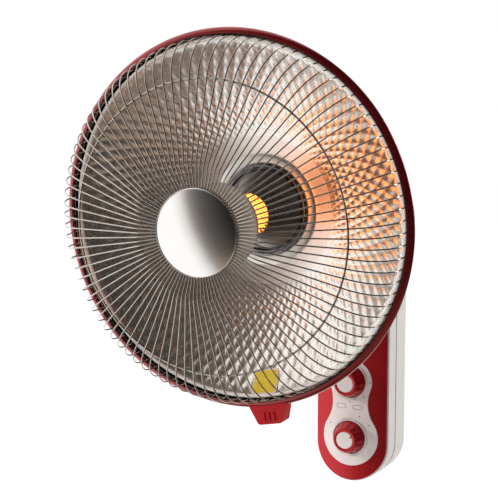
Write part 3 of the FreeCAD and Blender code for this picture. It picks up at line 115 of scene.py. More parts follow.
# %% Colour and node helpers
def colour(text):
    """sRGB hex to linear RGBA: c / 12.92 near black, else ((c + 0.055) / 1.055) ^ 2.4."""
    c = np.array([int(text[i:i + 2], 16) for i in (1, 3, 5)]) / 255
    return (*np.where(c <= 0.04045, c / 12.92, ((c + 0.055) / 1.055) ** 2.4), 1.0)


def add_node(tree, kind, inputs=None, **settings):
    """Adds a node; an input that is a socket becomes a link, and anything else a plain value."""
    node = tree.nodes.new(kind)
    for name, value in settings.items():
        setattr(node, name, value)
    for name, value in (inputs or {}).items():
        if isinstance(value, bpy.types.NodeSocket):
            tree.links.new(value, node.inputs[name])
        else:
            node.inputs[name].default_value = value
    return node


def set_ramp(ramp, stops):
    """Gives a colour ramp its stops, as pairs of place and hex colour. All places come before the colours, because
    a ramp keeps its stops in order."""
    elements = ramp.color_ramp.elements
    for _ in stops[2:]:
        elements.new(0.5)
    for element, (at, _) in zip(elements, stops):
        element.position = at
    for element, (_, tint) in zip(elements, stops):
        element.color = colour(tint)
    return ramp


print("the red of the grip reads", np.round(colour("#C2161F"), 3))

# %% [markdown]
# ## Light
# What polished metal shows is the room around it, so the room matters more than the lamps. Here the room is bright
# on its left side, low down, and fades through a warm grey to nearly black on the right. The ground is brown, and
# a pale wall stands at the left behind the heater. That makes the cap white at its lower left and dark at its right
# edge, and it puts light and dark areas into the dish. Plain surfaces don't mirror the room, so for them it is an
# even white. A lamp at the left gives the knobs their shadows, a weaker one in front opens them a little, and a wide
# one behind on the right edges the rim.

# %% World
def towards(azimuth, elevation):
    """A unit vector from degrees: azimuth 0 looks out of the dish, and grows to the right."""
    az, el = math.radians(azimuth), math.radians(elevation)
    return (math.sin(az) * math.cos(el), -math.cos(az) * math.cos(el), math.sin(el))


BRIGHT_SIDE, GROUND, LEFT_WALL = towards(-100, -26), towards(0, -90), towards(-115, 25)
SOFT, MIRRORED, BACKDROP = 0.23, 1.45, 1.0

world = bpy.data.worlds.new("white_room")
world.use_nodes = True
room = world.node_tree
room.nodes.clear()
direction = add_node(room, "ShaderNodeTexCoord").outputs["Generated"]
facing = add_node(room, "ShaderNodeVectorMath", {0: direction, 1: BRIGHT_SIDE}, operation="DOT_PRODUCT")
shade = add_node(room, "ShaderNodeMapRange", {"Value": facing.outputs["Value"], "From Min": -0.35, "From Max": 0.60})
tint = set_ramp(add_node(room, "ShaderNodeValToRGB", {"Fac": shade.outputs[0]}), [
    (0.05, "#201E1D"), (0.45, "#575350"), (0.63, "#86817D"), (0.76, "#E2DFDC"), (0.90, "#FFFFFF")]).outputs[0]
# The ground lightens what is dark near it, and covers what is straight below. The wall comes last
for way, start, end, paint, blend in ((GROUND, 0.35, 0.85, "#9A8674", "LIGHTEN"),
                                      (GROUND, 0.78, 0.94, "#645448", "MIX"),
                                      (LEFT_WALL, 0.40, 0.65, "#FAF5F0", "LIGHTEN")):
    facing = add_node(room, "ShaderNodeVectorMath", {0: direction, 1: way}, operation="DOT_PRODUCT")
    share = add_node(room, "ShaderNodeMapRange", {"Value": facing.outputs["Value"], "From Min": start, "From Max": end},
                     interpolation_type="SMOOTHSTEP")
    tint = add_node(room, "ShaderNodeMix", {0: share.outputs[0], 6: tint, 7: colour(paint)}, data_type="RGBA",
                    blend_type=blend).outputs[2]
rays = add_node(room, "ShaderNodeLightPath").outputs
shiny = add_node(room, "ShaderNodeMath", {0: rays["Is Glossy Ray"], 1: rays["Is Transmission Ray"]},
                 operation="MAXIMUM").outputs[0]
soft = add_node(room, "ShaderNodeBackground", {"Color": colour("#FFFCFA"), "Strength": SOFT}).outputs[0]
seen = add_node(room, "ShaderNodeBackground", {"Color": tint, "Strength": MIRRORED}).outputs[0]
plain = add_node(room, "ShaderNodeBackground", {"Color": colour("#FFFFFF"), "Strength": BACKDROP}).outputs[0]
lit = add_node(room, "ShaderNodeMixShader", {0: shiny, 1: soft, 2: seen}).outputs[0]
sky = add_node(room, "ShaderNodeMixShader", {0: rays["Is Camera Ray"], 1: lit, 2: plain}).outputs[0]
add_node(room, "ShaderNodeOutputWorld", {"Surface": sky})
bpy.context.scene.world = world
bpy.context.scene.view_settings.view_transform = "Standard"
print("room is brightest towards", np.round(BRIGHT_SIDE, 2))

# %% Lamps
LIT_POINT = Vector((0.0, -0.2, 0.1))


def lamp(name, at, size, power, mirrored):
    """A square area lamp of a size in metres that faces the middle of the heater."""
    light = bpy.data.lights.new(name, "AREA")
    light.size = size
    light.energy = power
    holder = bpy.data.objects.new(name, light)
    holder.location = at
    ray = LIT_POINT - holder.location
    holder.rotation_euler = ray.to_track_quat("-Z", "Y").to_euler()
    holder.visible_glossy = mirrored
    bpy.context.scene.collection.objects.link(holder)
    print(name, "lamp at", at, "with", power, "W")


lamp("key", (-2.75, -1.3, 1.15), 0.6, 60.0, False)
lamp("front", (-0.9, -2.6, 1.0), 0.5, 20.0, False)
lamp("edge", (1.7, 2.45, 0.8), 1.4, 72.0, True)

# %% [markdown]
# ## Floor
# The heater hangs in front of white. A pale floor well below it catches its shadow. Seen directly the floor is
# nearly all plain white, so that no horizon shows, and it is left out of mirrors, where the room counts.

# %% Floor
FLOOR_Z, FLOOR_HALF = -0.42, 8.0
FLOOR_WHITE, WHITE_SHARE = 1.085, 0.92
floor_mesh = bpy.data.meshes.new("floor")
corners = [(x * FLOOR_HALF, y * FLOOR_HALF, FLOOR_Z) for x, y in ((-1, -1), (1, -1), (1, 1), (-1, 1))]
floor_mesh.from_pydata(corners, [], [(0, 1, 2, 3)])
floor = bpy.data.objects.new("floor", floor_mesh)
bpy.context.scene.collection.objects.link(floor)
pale = bpy.data.materials.new("pale_floor")
pale.use_nodes = True
tree = pale.node_tree
tree.nodes.clear()
rays = add_node(tree, "ShaderNodeLightPath").outputs
matt = add_node(tree, "ShaderNodeBsdfDiffuse", {"Color": colour("#F6F5F3")}).outputs[0]
white = add_node(tree, "ShaderNodeEmission", {"Color": colour("#FFFFFF"), "Strength": FLOOR_WHITE}).outputs[0]
direct = add_node(tree, "ShaderNodeMath", {0: rays["Is Camera Ray"], 1: WHITE_SHARE},
                  operation="MULTIPLY").outputs[0]
mixed = add_node(tree, "ShaderNodeMixShader", {0: direct, 1: matt, 2: white}).outputs[0]
add_node(tree, "ShaderNodeOutputMaterial", {"Surface": mixed})
floor_mesh.materials.append(pale)
floor.visible_glossy = False
print("floor at z = %.2f m" % FLOOR_Z)

# %% [markdown]
# ## Finishes
# Each finish starts from what the real thing is made of. Moulded ABS has a soft gloss with a very slight ripple, and
# lacquer with metal flakes is bright on one side and dark on the other. Spun and polished aluminium is a mirror
# with a faint grain round its axis, and ceramic is matt. The grain sizes are real ones in millimetres, made coarser
# only where the true grain is too fine to be seen at this distance.

# %% Finish helpers
def finish(name, **sockets):
    """A new material with one Principled shader; sockets are its plain values, with _ for a space."""
    material = bpy.data.materials.new(name)
    material.use_nodes = True
    shader = material.node_tree.nodes["Principled BSDF"]
    for socket, value in sockets.items():
        shader.inputs[socket.replace("_", " ")].default_value = value
    return material


def surface(material, grain, rough, depth, tints, patch=60.0, turned=False):
    """Grain in mm drives roughness between two values and a bump of the given depth in mm. Tints are two colours
    that a noise of the patch size in mm wanders between. On a turned piece the grain runs in rings: it then depends
    only on the distance from the dish axis, the square root of x^2 + (z - axis height)^2."""
    tree = material.node_tree
    shader = tree.nodes["Principled BSDF"]
    where = add_node(tree, "ShaderNodeTexCoord").outputs["Object"]
    if turned:
        flat = add_node(tree, "ShaderNodeMapping", {"Vector": where, "Location": (0, 0, -AXIS_Z), "Scale": (1, 0, 1)})
        reach = add_node(tree, "ShaderNodeVectorMath", {0: flat.outputs[0]}, operation="LENGTH").outputs["Value"]
        noise = add_node(tree, "ShaderNodeTexNoise", {"W": reach, "Scale": 1 / (grain * MM), "Detail": 3.0},
                         noise_dimensions="1D").outputs["Fac"]
    else:
        noise = add_node(tree, "ShaderNodeTexNoise",
                         {"Vector": where, "Scale": 1 / (grain * MM), "Detail": 3.0}).outputs["Fac"]
    span = add_node(tree, "ShaderNodeMapRange", {"Value": noise, "From Min": 0.3, "From Max": 0.7,
                                                 "To Min": rough[0], "To Max": rough[1]}).outputs[0]
    bump = add_node(tree, "ShaderNodeBump", {"Height": noise, "Strength": 1.0, "Distance": depth * MM}).outputs[0]
    wander = add_node(tree, "ShaderNodeTexNoise", {"Vector": where, "Scale": 1 / (patch * MM)}).outputs["Fac"]
    ramp = set_ramp(add_node(tree, "ShaderNodeValToRGB", {"Fac": wander}), [(0.35, tints[0]), (0.65, tints[1])])
    tree.links.new(span, shader.inputs["Roughness"])
    tree.links.new(bump, shader.inputs["Normal"])
    tree.links.new(ramp.outputs[0], shader.inputs["Base Color"])
    return material


# %% Plastics, lacquers, rubber and paper
# Moulded glossy ABS: deep even red, a soft highlight with a slight ripple from the mould
red_abs = surface(finish("moulded_red_abs", Specular_IOR_Level=0.25), 2.5, (0.28, 0.34), 0.002,
                  ("#C2161F", "#BA141E"))
# Red lacquer with metal flakes, on the panel and the knobs: bright towards the light side of the room, dark away
red_lacquer = surface(finish("metallic_red_lacquer", Metallic=0.6, Coat_Weight=0.3), 2.5, (0.32, 0.38), 0.002,
                      ("#BE1620", "#B4141D"))
# Deeper lacquer of the rim and the shell behind the dish: maroon under a clear coat, nearly black on the dark side
rim_lacquer = surface(finish("dark_red_lacquer", Metallic=0.65, Coat_Weight=0.7, Coat_Roughness=0.08),
                      2.5, (0.26, 0.32), 0.002, ("#8C171D", "#82151A"))
# White ABS from a fine-textured mould: broad, dull highlight, slightly warm
white_abs = surface(finish("moulded_white_abs"), 0.9, (0.38, 0.50), 0.008, ("#F1EDE9", "#ECE8E4"), 90.0)
# Pearl-painted ABS of the dial plate: a little greyer and pinker, with a finer sparkle
pearl_abs = surface(finish("pearl_painted_abs", Metallic=0.1), 0.7, (0.32, 0.46), 0.004, ("#F0E6E3", "#EAE0DD"), 30.0)
# Black glass-filled nylon of switch bodies and terminals: dull with flow marks
black_nylon = surface(finish("black_filled_nylon"), 1.5, (0.42, 0.6), 0.02, ("#1B1B1C", "#232324"), 20.0)
# Natural acetal of bush, crank and washers: milky and slick
white_acetal = surface(finish("natural_acetal", Subsurface_Weight=0.1, Subsurface_Scale=0.004),
                       2.0, (0.30, 0.40), 0.006, ("#E8E5DC", "#E2DED3"), 25.0)
# Moulded rubber of the cord inlet: black, very matt. The same black is painted shade on the rim's edge, in its groove
# and in the column's seam
rubber_and_shade_black = surface(finish("moulded_rubber_and_painted_shade"), 0.8, (0.7, 0.85), 0.02, ("#141414", "#1C1C1C"), 15.0)
# Coated paper of the bare plate on the dish: strong yellow, half matt
yellow_paper = surface(finish("coated_yellow_paper"), 0.6, (0.42, 0.55), 0.004, ("#E6C83C", "#DCBC34"), 8.0)
# Its pale edge, the same paper without ink
pale_paper = surface(finish("coated_pale_paper"), 0.6, (0.42, 0.55), 0.004, ("#EADCD8", "#E2D2CC"), 8.0)
# Grey dial ink, pad-printed: matt, slightly uneven
grey_ink = surface(finish("pad_printed_ink"), 0.5, (0.55, 0.7), 0.002, ("#55504F", "#6A6463"), 2.0)
print("plastics and lacquers:", red_abs.name, red_lacquer.name, rim_lacquer.name, white_abs.name, pearl_abs.name)

# %% Metals, ceramic and glow
# Spun, polished aluminium of the dish: a slightly hazy mirror, with faint rings from the spinning tool
mirror_aluminium = surface(finish("spun_polished_aluminium", Metallic=0.93), 1.2, (0.18, 0.25), 0.002,
                           ("#F2EEE9", "#E9E5DF"), 45.0, turned=True)
# The plain middle of the dish, left satin as it came off the spinning tool: it spreads the glow softly
satin_aluminium = surface(finish("spun_satin_aluminium", Metallic=0.9), 1.2, (0.27, 0.33), 0.002,
                          ("#F4F0EB", "#EBE7E1"), 45.0, turned=True)
# The rolled edge of the same sheet, worked matt by the rolling: bright from every side
rolled_aluminium = surface(finish("rolled_satin_aluminium", Specular_IOR_Level=0.8), 0.9, (0.24, 0.34), 0.003,
                           ("#FBF8F4", "#F2EEE9"), 20.0, turned=True)
# Bright nickel-plated drawn wire: grey mirror with fine streaks
plated_wire = surface(finish("nickel_plated_wire", Metallic=1.0), 0.8, (0.08, 0.16), 0.003,
                      ("#B4AFA8", "#A49F98"), 12.0)
# Pressed and satin-polished steel of the cap: smooth grey gradient with a soft edge
satin_steel = surface(finish("satin_polished_steel", Metallic=1.0), 0.9, (0.17, 0.20), 0.0003,
                      ("#DCDAD8", "#D9D6D4"), 40.0, turned=True)
# Polished steel cone round the core: a darker mirror, greyed by heat
heat_steel = surface(finish("heat_greyed_steel", Metallic=1.0), 1.0, (0.08, 0.14), 0.002,
                     ("#8E8E92", "#7E7E84"), 18.0, turned=True)
# Dull aluminised sheet of the disc in front of the core: warm grey, without a clear reflection
dull_sheet = surface(finish("dull_aluminised_sheet", Metallic=0.7), 1.0, (0.42, 0.55), 0.006,
                     ("#B9A999", "#AD9D8D"), 20.0)
# Zinc-plated steel of bracket, screws and hinge: pale grey with a mottled spangle
zinc_steel = surface(finish("zinc_plated_steel", Metallic=1.0), 3.0, (0.26, 0.44), 0.006, ("#B4B6B6", "#9EA1A3"), 6.0)
# Galvanised can of the small motor: grey with a cloudy spangle
motor_can = surface(finish("galvanised_can", Metallic=0.9), 4.0, (0.34, 0.5), 0.008, ("#A9AAA6", "#95979A"), 8.0)
# Unglazed steatite ceramic: warm white, matt, slightly pitted
steatite = surface(finish("steatite_ceramic"), 1.0, (0.55, 0.7), 0.03, ("#EFE8DC", "#E4DACA"), 14.0)
# Resistance wire at orange heat: the light comes from the wire itself
glow_wire = surface(finish("glowing_resistance_wire", Emission_Color=colour("#FF9238"), Emission_Strength=3.7),
                    1.0, (0.5, 0.7), 0.01, ("#7A3A1C", "#5E2C18"), 10.0)
print("metals:", mirror_aluminium.name, plated_wire.name, satin_steel.name, heat_steel.name)

# %% [markdown]
# ## Finishes on the CAD solids
# Most solids already have the right shape. They keep it, and only their material slot changes. A list of finish
# and node names is easier to check than a line for each.

# %% Dress the CAD nodes
dress = {
    red_abs: ["grip_tab"],
    red_lacquer: ["front_panel", "heat_knob", "timer_knob"],
    rim_lacquer: ["rim_ring", "back_shell", "rear_cover"],
    white_abs: ["front_housing", "rear_housing", "arm_body", "arm_lid", "swing_neck"],
    pearl_abs: ["dial_plate", "heat_knob_disc", "timer_knob_disc"],
    black_nylon: ["terminal_block", "heat_switch", "timer_unit", "overheat_cutout"],
    white_acetal: ["swing_bush", "swing_crank", "swing_lever", "friction_washers"],
    rubber_and_shade_black: ["cord_gland"],
    mirror_aluminium: ["reflector"],
    plated_wire: ["guard_wires", "guard_mid_ring", "guard_end_ring", "guard_inner_ring"],
    satin_steel: ["guard_cap", "guard_plate"],
    heat_steel: ["core_cone"],
    dull_sheet: ["core_disc"],
    zinc_steel: ["wall_bracket", "housing_screws", "terminal_screws", "heat_spindle", "timer_spindle", "arm_bolts",
                 "lid_screws", "motor_screws", "lever_clip", "hinge_bracket", "tilt_bolt", "tilt_nut", "cover_screws",
                 "core_stud", "core_nuts", "cap_screw"],
    motor_can: ["swing_motor"],
    steatite: ["ceramic_core", "core_socket"],
    glow_wire: ["heating_coil"],
}
for material, names in dress.items():
    for name in names:
        nodes[name].data.materials.clear()
        nodes[name].data.materials.append(material)
print("dressed", sum(len(names) for names in dress.values()), "of", len(nodes), "nodes")

# %% [markdown]
# ## Meshes from arrays
# A piece is a grid of points and the quads between them. Both come from whole arrays, so a dish with sixty
# thousand points is as short to write as a ring with sixty. Where a grid runs together in one point, as at the top
# of a dome, its points are merged. The sign of the enclosed volume tells whether the faces point outwards, and
# turns them round if they don't.

# %% Grid and piece helpers
SHARP = 35.0


def grid_faces(rows, columns, wrap_rows=True, wrap_columns=True):
    """Quads between neighbouring points of a grid numbered row by row; a wrapped side joins back to its start."""
    i, j = np.meshgrid(np.arange(rows - (not wrap_rows)), np.arange(columns - (not wrap_columns)), indexing="ij")
    i2, j2 = (i + 1) % rows, (j + 1) % columns
    return np.stack([i * columns + j, i * columns + j2, i2 * columns + j2, i2 * columns + j], axis=-1).reshape(-1, 4)


def repeat_faces(faces, copies, points_each):
    """The same faces for each copy, with the point numbers moved on by points_each."""
    return (faces[None] + (np.arange(copies) * points_each)[:, None, None]).reshape(-1, faces.shape[1])


def make_piece(name, points, face_sets, material, body, stands_for=(), sharp=SHARP):
    """A mesh object from points and lists of equal-sided faces, smooth apart from edges sharper than an angle.
    Volume = sum of a . (b x c) / 6 over the corner triangles; a negative one turns the faces round."""
    points = points.reshape(-1, 3)
    volume = 0.0
    for faces in face_sets:
        a = points[faces[:, 0]]
        for k in range(1, faces.shape[1] - 1):
            volume += np.einsum("ij,ij->", a, np.cross(points[faces[:, k]], points[faces[:, k + 1]])) / 6
    if volume < 0:
        face_sets = [faces[:, ::-1] for faces in face_sets]
    mesh = bpy.data.meshes.new(name)
    mesh.from_pydata(points.tolist(), [], [face for faces in face_sets for face in faces.tolist()])
    work = bmesh.new()
    work.from_mesh(mesh)
    bmesh.ops.remove_doubles(work, verts=work.verts, dist=1e-7)
    work.to_mesh(mesh)
    work.free()
    mesh.shade_smooth()
    mesh.set_sharp_from_angle(angle=math.radians(sharp))
    mesh.materials.append(material)
    piece = bpy.data.objects.new(name, mesh)
    bpy.context.scene.collection.objects.link(piece)
    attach(piece, body)
    if stands_for:
        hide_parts(*stands_for)
    print("%-20s %6d points, %6.2f cm3" % (name, len(mesh.vertices), abs(volume) * 1e6))
    return piece


def spin(profile, steps):
    """A closed profile of (r, f) rows in mm turned about the dish axis: points and quads."""
    turns = np.linspace(0, 2 * math.pi, steps, endpoint=False)
    profile = np.asarray(profile, float)
    points = on_head(profile[None, :, 0], profile[None, :, 1], turns[:, None])
    return points, grid_faces(steps, len(profile))


def arc(centre, radius, start, end, count):
    """Points (r, f) on an arc, for angles in degrees; radius may be a pair for an ellipse."""
    a = np.radians(np.linspace(start, end, count))
    return np.asarray(centre) + np.stack([np.cos(a), np.sin(a)], axis=-1) * np.asarray(radius)


# %% [markdown]
# ## The dish
# The reflector is one sheet of aluminium, spun to a parabola and then embossed with a diamond pattern, so that it
# throws the heat wide without a hot spot. Two families of spirals make the diamonds. They are logarithmic, because
# those cross every circle at the same angle, and the diamonds then grow with the radius and stay alike. A bump
# texture could fake it, but the real facets send each reflection its own way, so the relief is in the mesh. Its
# grid follows the spirals: ten steps to a diamond both ways, so that every crease falls on a row of points.

# %% Relief of the dish
DISH_VERTEX, DISH_EDGE, DISH_START, SHEET = -79.0, 176.0, 57.0, 0.9
DISH_EDGE_F = -6.6
RELIEF_END = 175.5
CELLS = 80
SPIRAL = 7.2
STEPS = 10
PILLOW = 0.006
PLAIN_END = 76.0
FADE_IN, FADE_OUT = 20.0, 1.5
SWELL, SWELL_W = 2.0, 18.0
RING_RISE = 3.2
rise = (DISH_EDGE_F - DISH_VERTEX) / DISH_EDGE ** 2
FLAT_F = DISH_VERTEX + rise * DISH_START ** 2 + RING_RISE


def dish_f(r):
    """Forward distance of the dish: vertex + rise r^2, plus a swell that makes its middle flatter and dies away
    outwards: swell * exp(-(r - start) / width)."""
    r = np.asarray(r, float)
    return DISH_VERTEX + rise * r ** 2 + SWELL * np.exp(-(r - DISH_START) / SWELL_W)


def relief(r, turn):
    """Height in mm of the embossing. Within a diamond, a and b run from -1 to 1 between neighbouring spirals of the
    two families. The diamond is a pillow, (1 - a^2)(1 - b^2), steepest along its sides, so that each side sends its
    light another way. Its height grows with r, and fades to nothing at the two ends of the pattern."""
    u = CELLS * turn / (2 * math.pi)
    v = SPIRAL * np.log(r / RELIEF_END)
    a = 2 * ((u + v) % 1.0) - 1
    b = 2 * ((u - v) % 1.0) - 1
    fade = np.clip((r - PLAIN_END) / FADE_IN, 0, 1) * np.clip((RELIEF_END - r) / FADE_OUT, 0, 1)
    return PILLOW * r * fade * (1 - a * a) * (1 - b * b)


rows = np.arange(int(SPIRAL * math.log(RELIEF_END / PLAIN_END) * STEPS) + 1)
radii = RELIEF_END * np.exp(-rows[::-1] / (STEPS * SPIRAL))
turns = 2 * math.pi * np.arange(CELLS * STEPS) / (CELLS * STEPS)
print("diamonds: %d round the dish, %.1f mm wide at its edge" % (CELLS, 2 * math.pi * RELIEF_END / CELLS))

# %% Reflector
band_r = np.array([176.2, 177.0, 178.0])
band_f = dish_f(RELIEF_END) + 0.5 * (band_r - RELIEF_END)
back_r = np.linspace(RELIEF_END, radii[0], 6)
sheet_r = np.concatenate([radii, band_r, band_r[::-1], back_r])
sheet_f = np.concatenate([dish_f(radii), band_f, band_f[::-1] - SHEET, dish_f(back_r) - SHEET])
height = np.zeros((len(turns), len(sheet_r)))
height[:, :len(radii)] = relief(radii[None, :], turns[:, None])
dish_points = on_head(sheet_r[None, :], sheet_f[None, :] + height, turns[:, None])
make_piece("embossed_reflector", dish_points, [grid_faces(*dish_points.shape[:2])], mirror_aluminium, "head",
           ("reflector",), sharp=60.0)

# %% [markdown]
# The middle of the sheet is left plain. It is a piece of its own because its finish differs, and because a turned
# profile is enough for it: from the seat of the cone over a raised ring and down into the parabola.

# %% Plain middle of the dish
SEAT_R, SEAT_F = 40.0, FLAT_F - 1.8
centre_r = np.linspace(57.4, radii[0], 9)
centre_profile = np.concatenate([
    [[SEAT_R, SEAT_F], [47.0, FLAT_F - 0.95], [54.4, FLAT_F], [55.2, FLAT_F - 0.3], [56.6, FLAT_F - 1.1]],
    np.stack([centre_r, dish_f(centre_r)], -1), np.stack([centre_r, dish_f(centre_r) - SHEET], -1)[::-1],
    [[55.0, FLAT_F - SHEET], [SEAT_R, SEAT_F - SHEET]]])
points, faces = spin(centre_profile, 240)
make_piece("dish_centre", points, [faces], satin_aluminium, "head")

# %% [markdown]
# Outside the pattern a plain band is left, and its edge is rolled over to a bead. The bead is a piece of its own
# because its finish differs: the rolling leaves it satin, so it shows as a bright line from every side.

# %% Rolled edge
edge_profile = np.concatenate([arc((179.4, -4.2), (1.8, 2.0), 180, 0, 13), [[181.2, -7.4], [180.4, -7.4]],
                               arc((179.4, -4.4), (1.0, 1.2), 0, 180, 7), [[178.4, -7.4], [177.6, -7.4]]])
points, faces = spin(edge_profile, 320)
make_piece("rolled_edge", points, [faces], rolled_aluminium, "head")

# %% [markdown]
# ## Rim
# The red ring holds the edge of the dish and the feet of the wires. Its front is rolled inwards over the guard, and
# behind that it draws in towards the shell. A thin black ring along the inner edge of the roll and a black strip in the
# groove behind it are painted shade: they darken the gap between the roll and the edge of the dish, where shadow falls.
# All three are turned profiles, so spinning them is all it takes.

# %% Rim ring, and the painted shade at its edge and in its groove
ROLL_R, RIM_R, EDGE_F = 183.4, 190.0, -1.5
roll = arc((ROLL_R, EDGE_F), (RIM_R - ROLL_R, RIM_FRONT - EDGE_F), 90, 0, 14)
under = arc((ROLL_R, -3.0), (3.27, 5.4), 0, 90, 9)
rim_profile = np.concatenate([roll, [[185.6, -10.7]], arc((180.4, -19.2), 0.8, 0, -90, 4), [[179.2, -20.0]],
                              [[179.2, -13.0], [177.0, -13.0], [177.0, -7.6], [179.5, -7.6], [179.5, -10.5],
                               [183.02, -10.5]], under])
points, faces = spin(rim_profile, 360)
make_piece("rim_band", points, [faces], rim_lacquer, "head", ("rim_ring",))

# Painted shade: a black ring on the inner edge of the roll, for the shadow in the gap behind it.
edge_shade_profile = np.concatenate([arc((183.7, 3.9), (0.5, 0.65), 180, 0, 9), [[183.85, 3.7]]])
points, faces = spin(edge_shade_profile, 320)
make_piece("rim_edge_shade", points, [faces], rubber_and_shade_black, "head")

# Painted shade: a black strip lining the groove, where the gap between the roll and the dish lies in shadow.
groove_shade_line = np.array([[179.7, -10.4], [182.9, -10.4], [186.5, -3.0], [186.3, -0.8], [185.6, 0.9]])
strip = np.concatenate([groove_shade_line, groove_shade_line[::-1] + [[-0.4, -0.3], [-0.5, 0.0], [-0.5, 0.0], [-0.3, 0.5], [0.0, 0.5]]])
points, faces = spin(strip, 240)
make_piece("groove_shade_strip", points, [faces], rubber_and_shade_black, "head")

# %% [markdown]
# ## Cone, disc and cap
# Three more turned pieces. The cone stands on the middle of the dish and hides the back of the core. The disc closes
# the front of the core and throws its heat back into the dish. The cap covers the inner ends of the wires. It is what
# the eye meets first, so its edge gets a rolled lip.

# %% Cone, disc and cap
cone_profile = np.concatenate([arc((45.5, FLAT_F + 0.05), 2.5, 0, 150, 9), [[42.6, FLAT_F + 1.6], [22.9, -30.8]],
                               arc((22.4, -30.6), 0.5, 20, 160, 4), [[21.6, -31.2], [41.6, FLAT_F + 0.05]]])
points, faces = spin(cone_profile, 192)
make_piece("core_collar_cone", points, [faces], heat_steel, "head", ("core_cone",))

DISC_F, DISC_DISH, DISC_SHEET = 30.0, 4.0, 0.8
DISC_HOLE, DISC_FLAT, DISC_BOWL = 3.4, 21.6, 19.8
disc_r = np.linspace(DISC_FLAT, 41.4, 9)
disc_f = DISC_F + DISC_DISH * ((disc_r - DISC_FLAT) / DISC_BOWL) ** 2
disc_profile = np.concatenate([[[DISC_HOLE, DISC_F]], np.stack([disc_r, disc_f], -1),
                               arc((41.7, DISC_F + DISC_DISH + 0.4), DISC_SHEET, -60, 120, 6),
                               np.stack([disc_r, disc_f + DISC_SHEET], -1)[::-1], [[DISC_HOLE, DISC_F + DISC_SHEET]]])
points, faces = spin(disc_profile, 160)
make_piece("front_disc", points, [faces], dull_sheet, "head", ("core_disc",))

CAP_RISE, CAP_LIP = 8.0, 1.1
cap_low, cap_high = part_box("guard_cap")
cap_r = (cap_high.x - cap_low.x) / 2 / MM
cap_top = (RIM_PLANE - cap_low.y) / MM
cap_edge = (RIM_PLANE - cap_high.y) / MM
reach = np.linspace(0.0, cap_r - 1.2, 28)
ball = (cap_r ** 2 + CAP_RISE ** 2) / (2 * CAP_RISE)
dome = cap_top - ball + np.sqrt(ball ** 2 - reach ** 2)
cap_lip = arc((cap_r - CAP_LIP, cap_edge + CAP_LIP), CAP_LIP, 70, -90, 8)
cap_profile = np.concatenate([np.stack([reach, dome], -1), cap_lip,
                              np.stack([reach[::-1] * 0.97, dome[::-1] - CAP_LIP], -1)])
points, faces = spin(cap_profile, 192)
make_piece("domed_cap", points, [faces], satin_steel, "head", ("guard_cap",))

# %% [markdown]
# ## The guard
# Ninety-six wires run from under the cap over the dish and down into the rim. Each follows the same bent line, so
# one path is worked out from its straight runs and bends, a circle is carried along it, and turning that about the
# axis gives the rest, all in one array. Three rings hold the wires together.

# %% Path of a guard wire
WIRES, FIRST_WIRE = 96, 0.6
WIRE_R, WIRE_SIDES = 0.75, 8
START_R, START_F = 37.6, 80.0
BEND_R, BEND_F, BEND_RADIUS = 66.0, 82.0, 20.0
GUARD_R, GUARD_END, CORNER_RADIUS = 182.25, -3.2, 50.0
FALL = 0.32
slope = math.atan(FALL)
lean = math.atan2(BEND_F - START_F, BEND_R - START_R)


def rounded(corner, before, after, radius, count):
    """Points along the rounding of a corner between two unit directions in the (r, f) plane."""
    angle = math.acos(float(np.dot(before, after)))
    run = radius * math.tan(angle / 2)
    side = np.array([-before[1], before[0]]) * math.copysign(1.0, before[0] * after[1] - before[1] * after[0])
    centre = corner - run * before + radius * side
    t = np.linspace(0, angle, count)[:, None]
    return centre - radius * side * np.cos(t) + radius * before * np.sin(t)


out_in = np.array([math.cos(lean), math.sin(lean)])
out_down = np.array([math.cos(slope), -math.sin(slope)])
out_back = np.array([0.0, -1.0])
bend_at = np.array([BEND_R, BEND_F])
corner_at = np.array([GUARD_R, BEND_F - FALL * (GUARD_R - BEND_R)])
wire_path = np.concatenate([[[START_R, START_F]], rounded(bend_at, out_in, out_down, BEND_RADIUS, 7),
                            rounded(corner_at, out_down, out_back, CORNER_RADIUS, 20), [[GUARD_R, GUARD_END]]])
wire_length = np.linalg.norm(np.diff(wire_path, axis=0), axis=1).sum()
print("wire path: %d points, %.0f mm long" % (len(wire_path), wire_length))

# %% Guard wires
along = np.gradient(wire_path, axis=0)
along /= np.linalg.norm(along, axis=1, keepdims=True)
across = np.stack([-along[:, 1], along[:, 0]], axis=-1)
around = 2 * math.pi * np.arange(WIRE_SIDES) / WIRE_SIDES
section = wire_path[:, None, :] + WIRE_R * np.cos(around)[None, :, None] * across[:, None, :]
sideways = WIRE_R * np.sin(around)[None, :] * np.ones((len(wire_path), 1))
wire_turns = np.radians(FIRST_WIRE + 360.0 * np.arange(WIRES) / WIRES)[:, None, None]
flat_wires = on_head(section[None, :, :, 0], section[None, :, :, 1], wire_turns)
tangent = np.stack([-np.sin(wire_turns), 0 * wire_turns, np.cos(wire_turns)], axis=-1)
wires = flat_wires + MM * sideways[None, :, :, None] * tangent
each = len(wire_path) * WIRE_SIDES
tube = repeat_faces(grid_faces(len(wire_path), WIRE_SIDES, wrap_rows=False), WIRES, each)
ends = np.stack([np.arange(WIRE_SIDES)[::-1], each - WIRE_SIDES + np.arange(WIRE_SIDES)])
make_piece("radial_wires", wires, [tube, repeat_faces(ends, WIRES, each)], plated_wire, "head", ("guard_wires",), 60.0)

# %% Guard rings
RING_SIDES = 10


def ring_piece(name, node, thickness):
    """A torus in the place of a CAD ring: the circle of radius thickness, carried round the dish axis."""
    low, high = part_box(node)
    r = (high.x - low.x) / 2 / MM - thickness
    f = (RIM_PLANE - (low.y + high.y) / 2) / MM
    points, faces = spin(arc((r, f), thickness, 0, 360 - 360 / RING_SIDES, RING_SIDES), 240)
    return make_piece(name, points, [faces], plated_wire, "head", (node,), 60.0)


ring_piece("middle_ring", "guard_mid_ring", 1.1)
ring_piece("outer_ring", "guard_end_ring", 1.2)
ring_piece("inner_ring", "guard_inner_ring", 1.2)

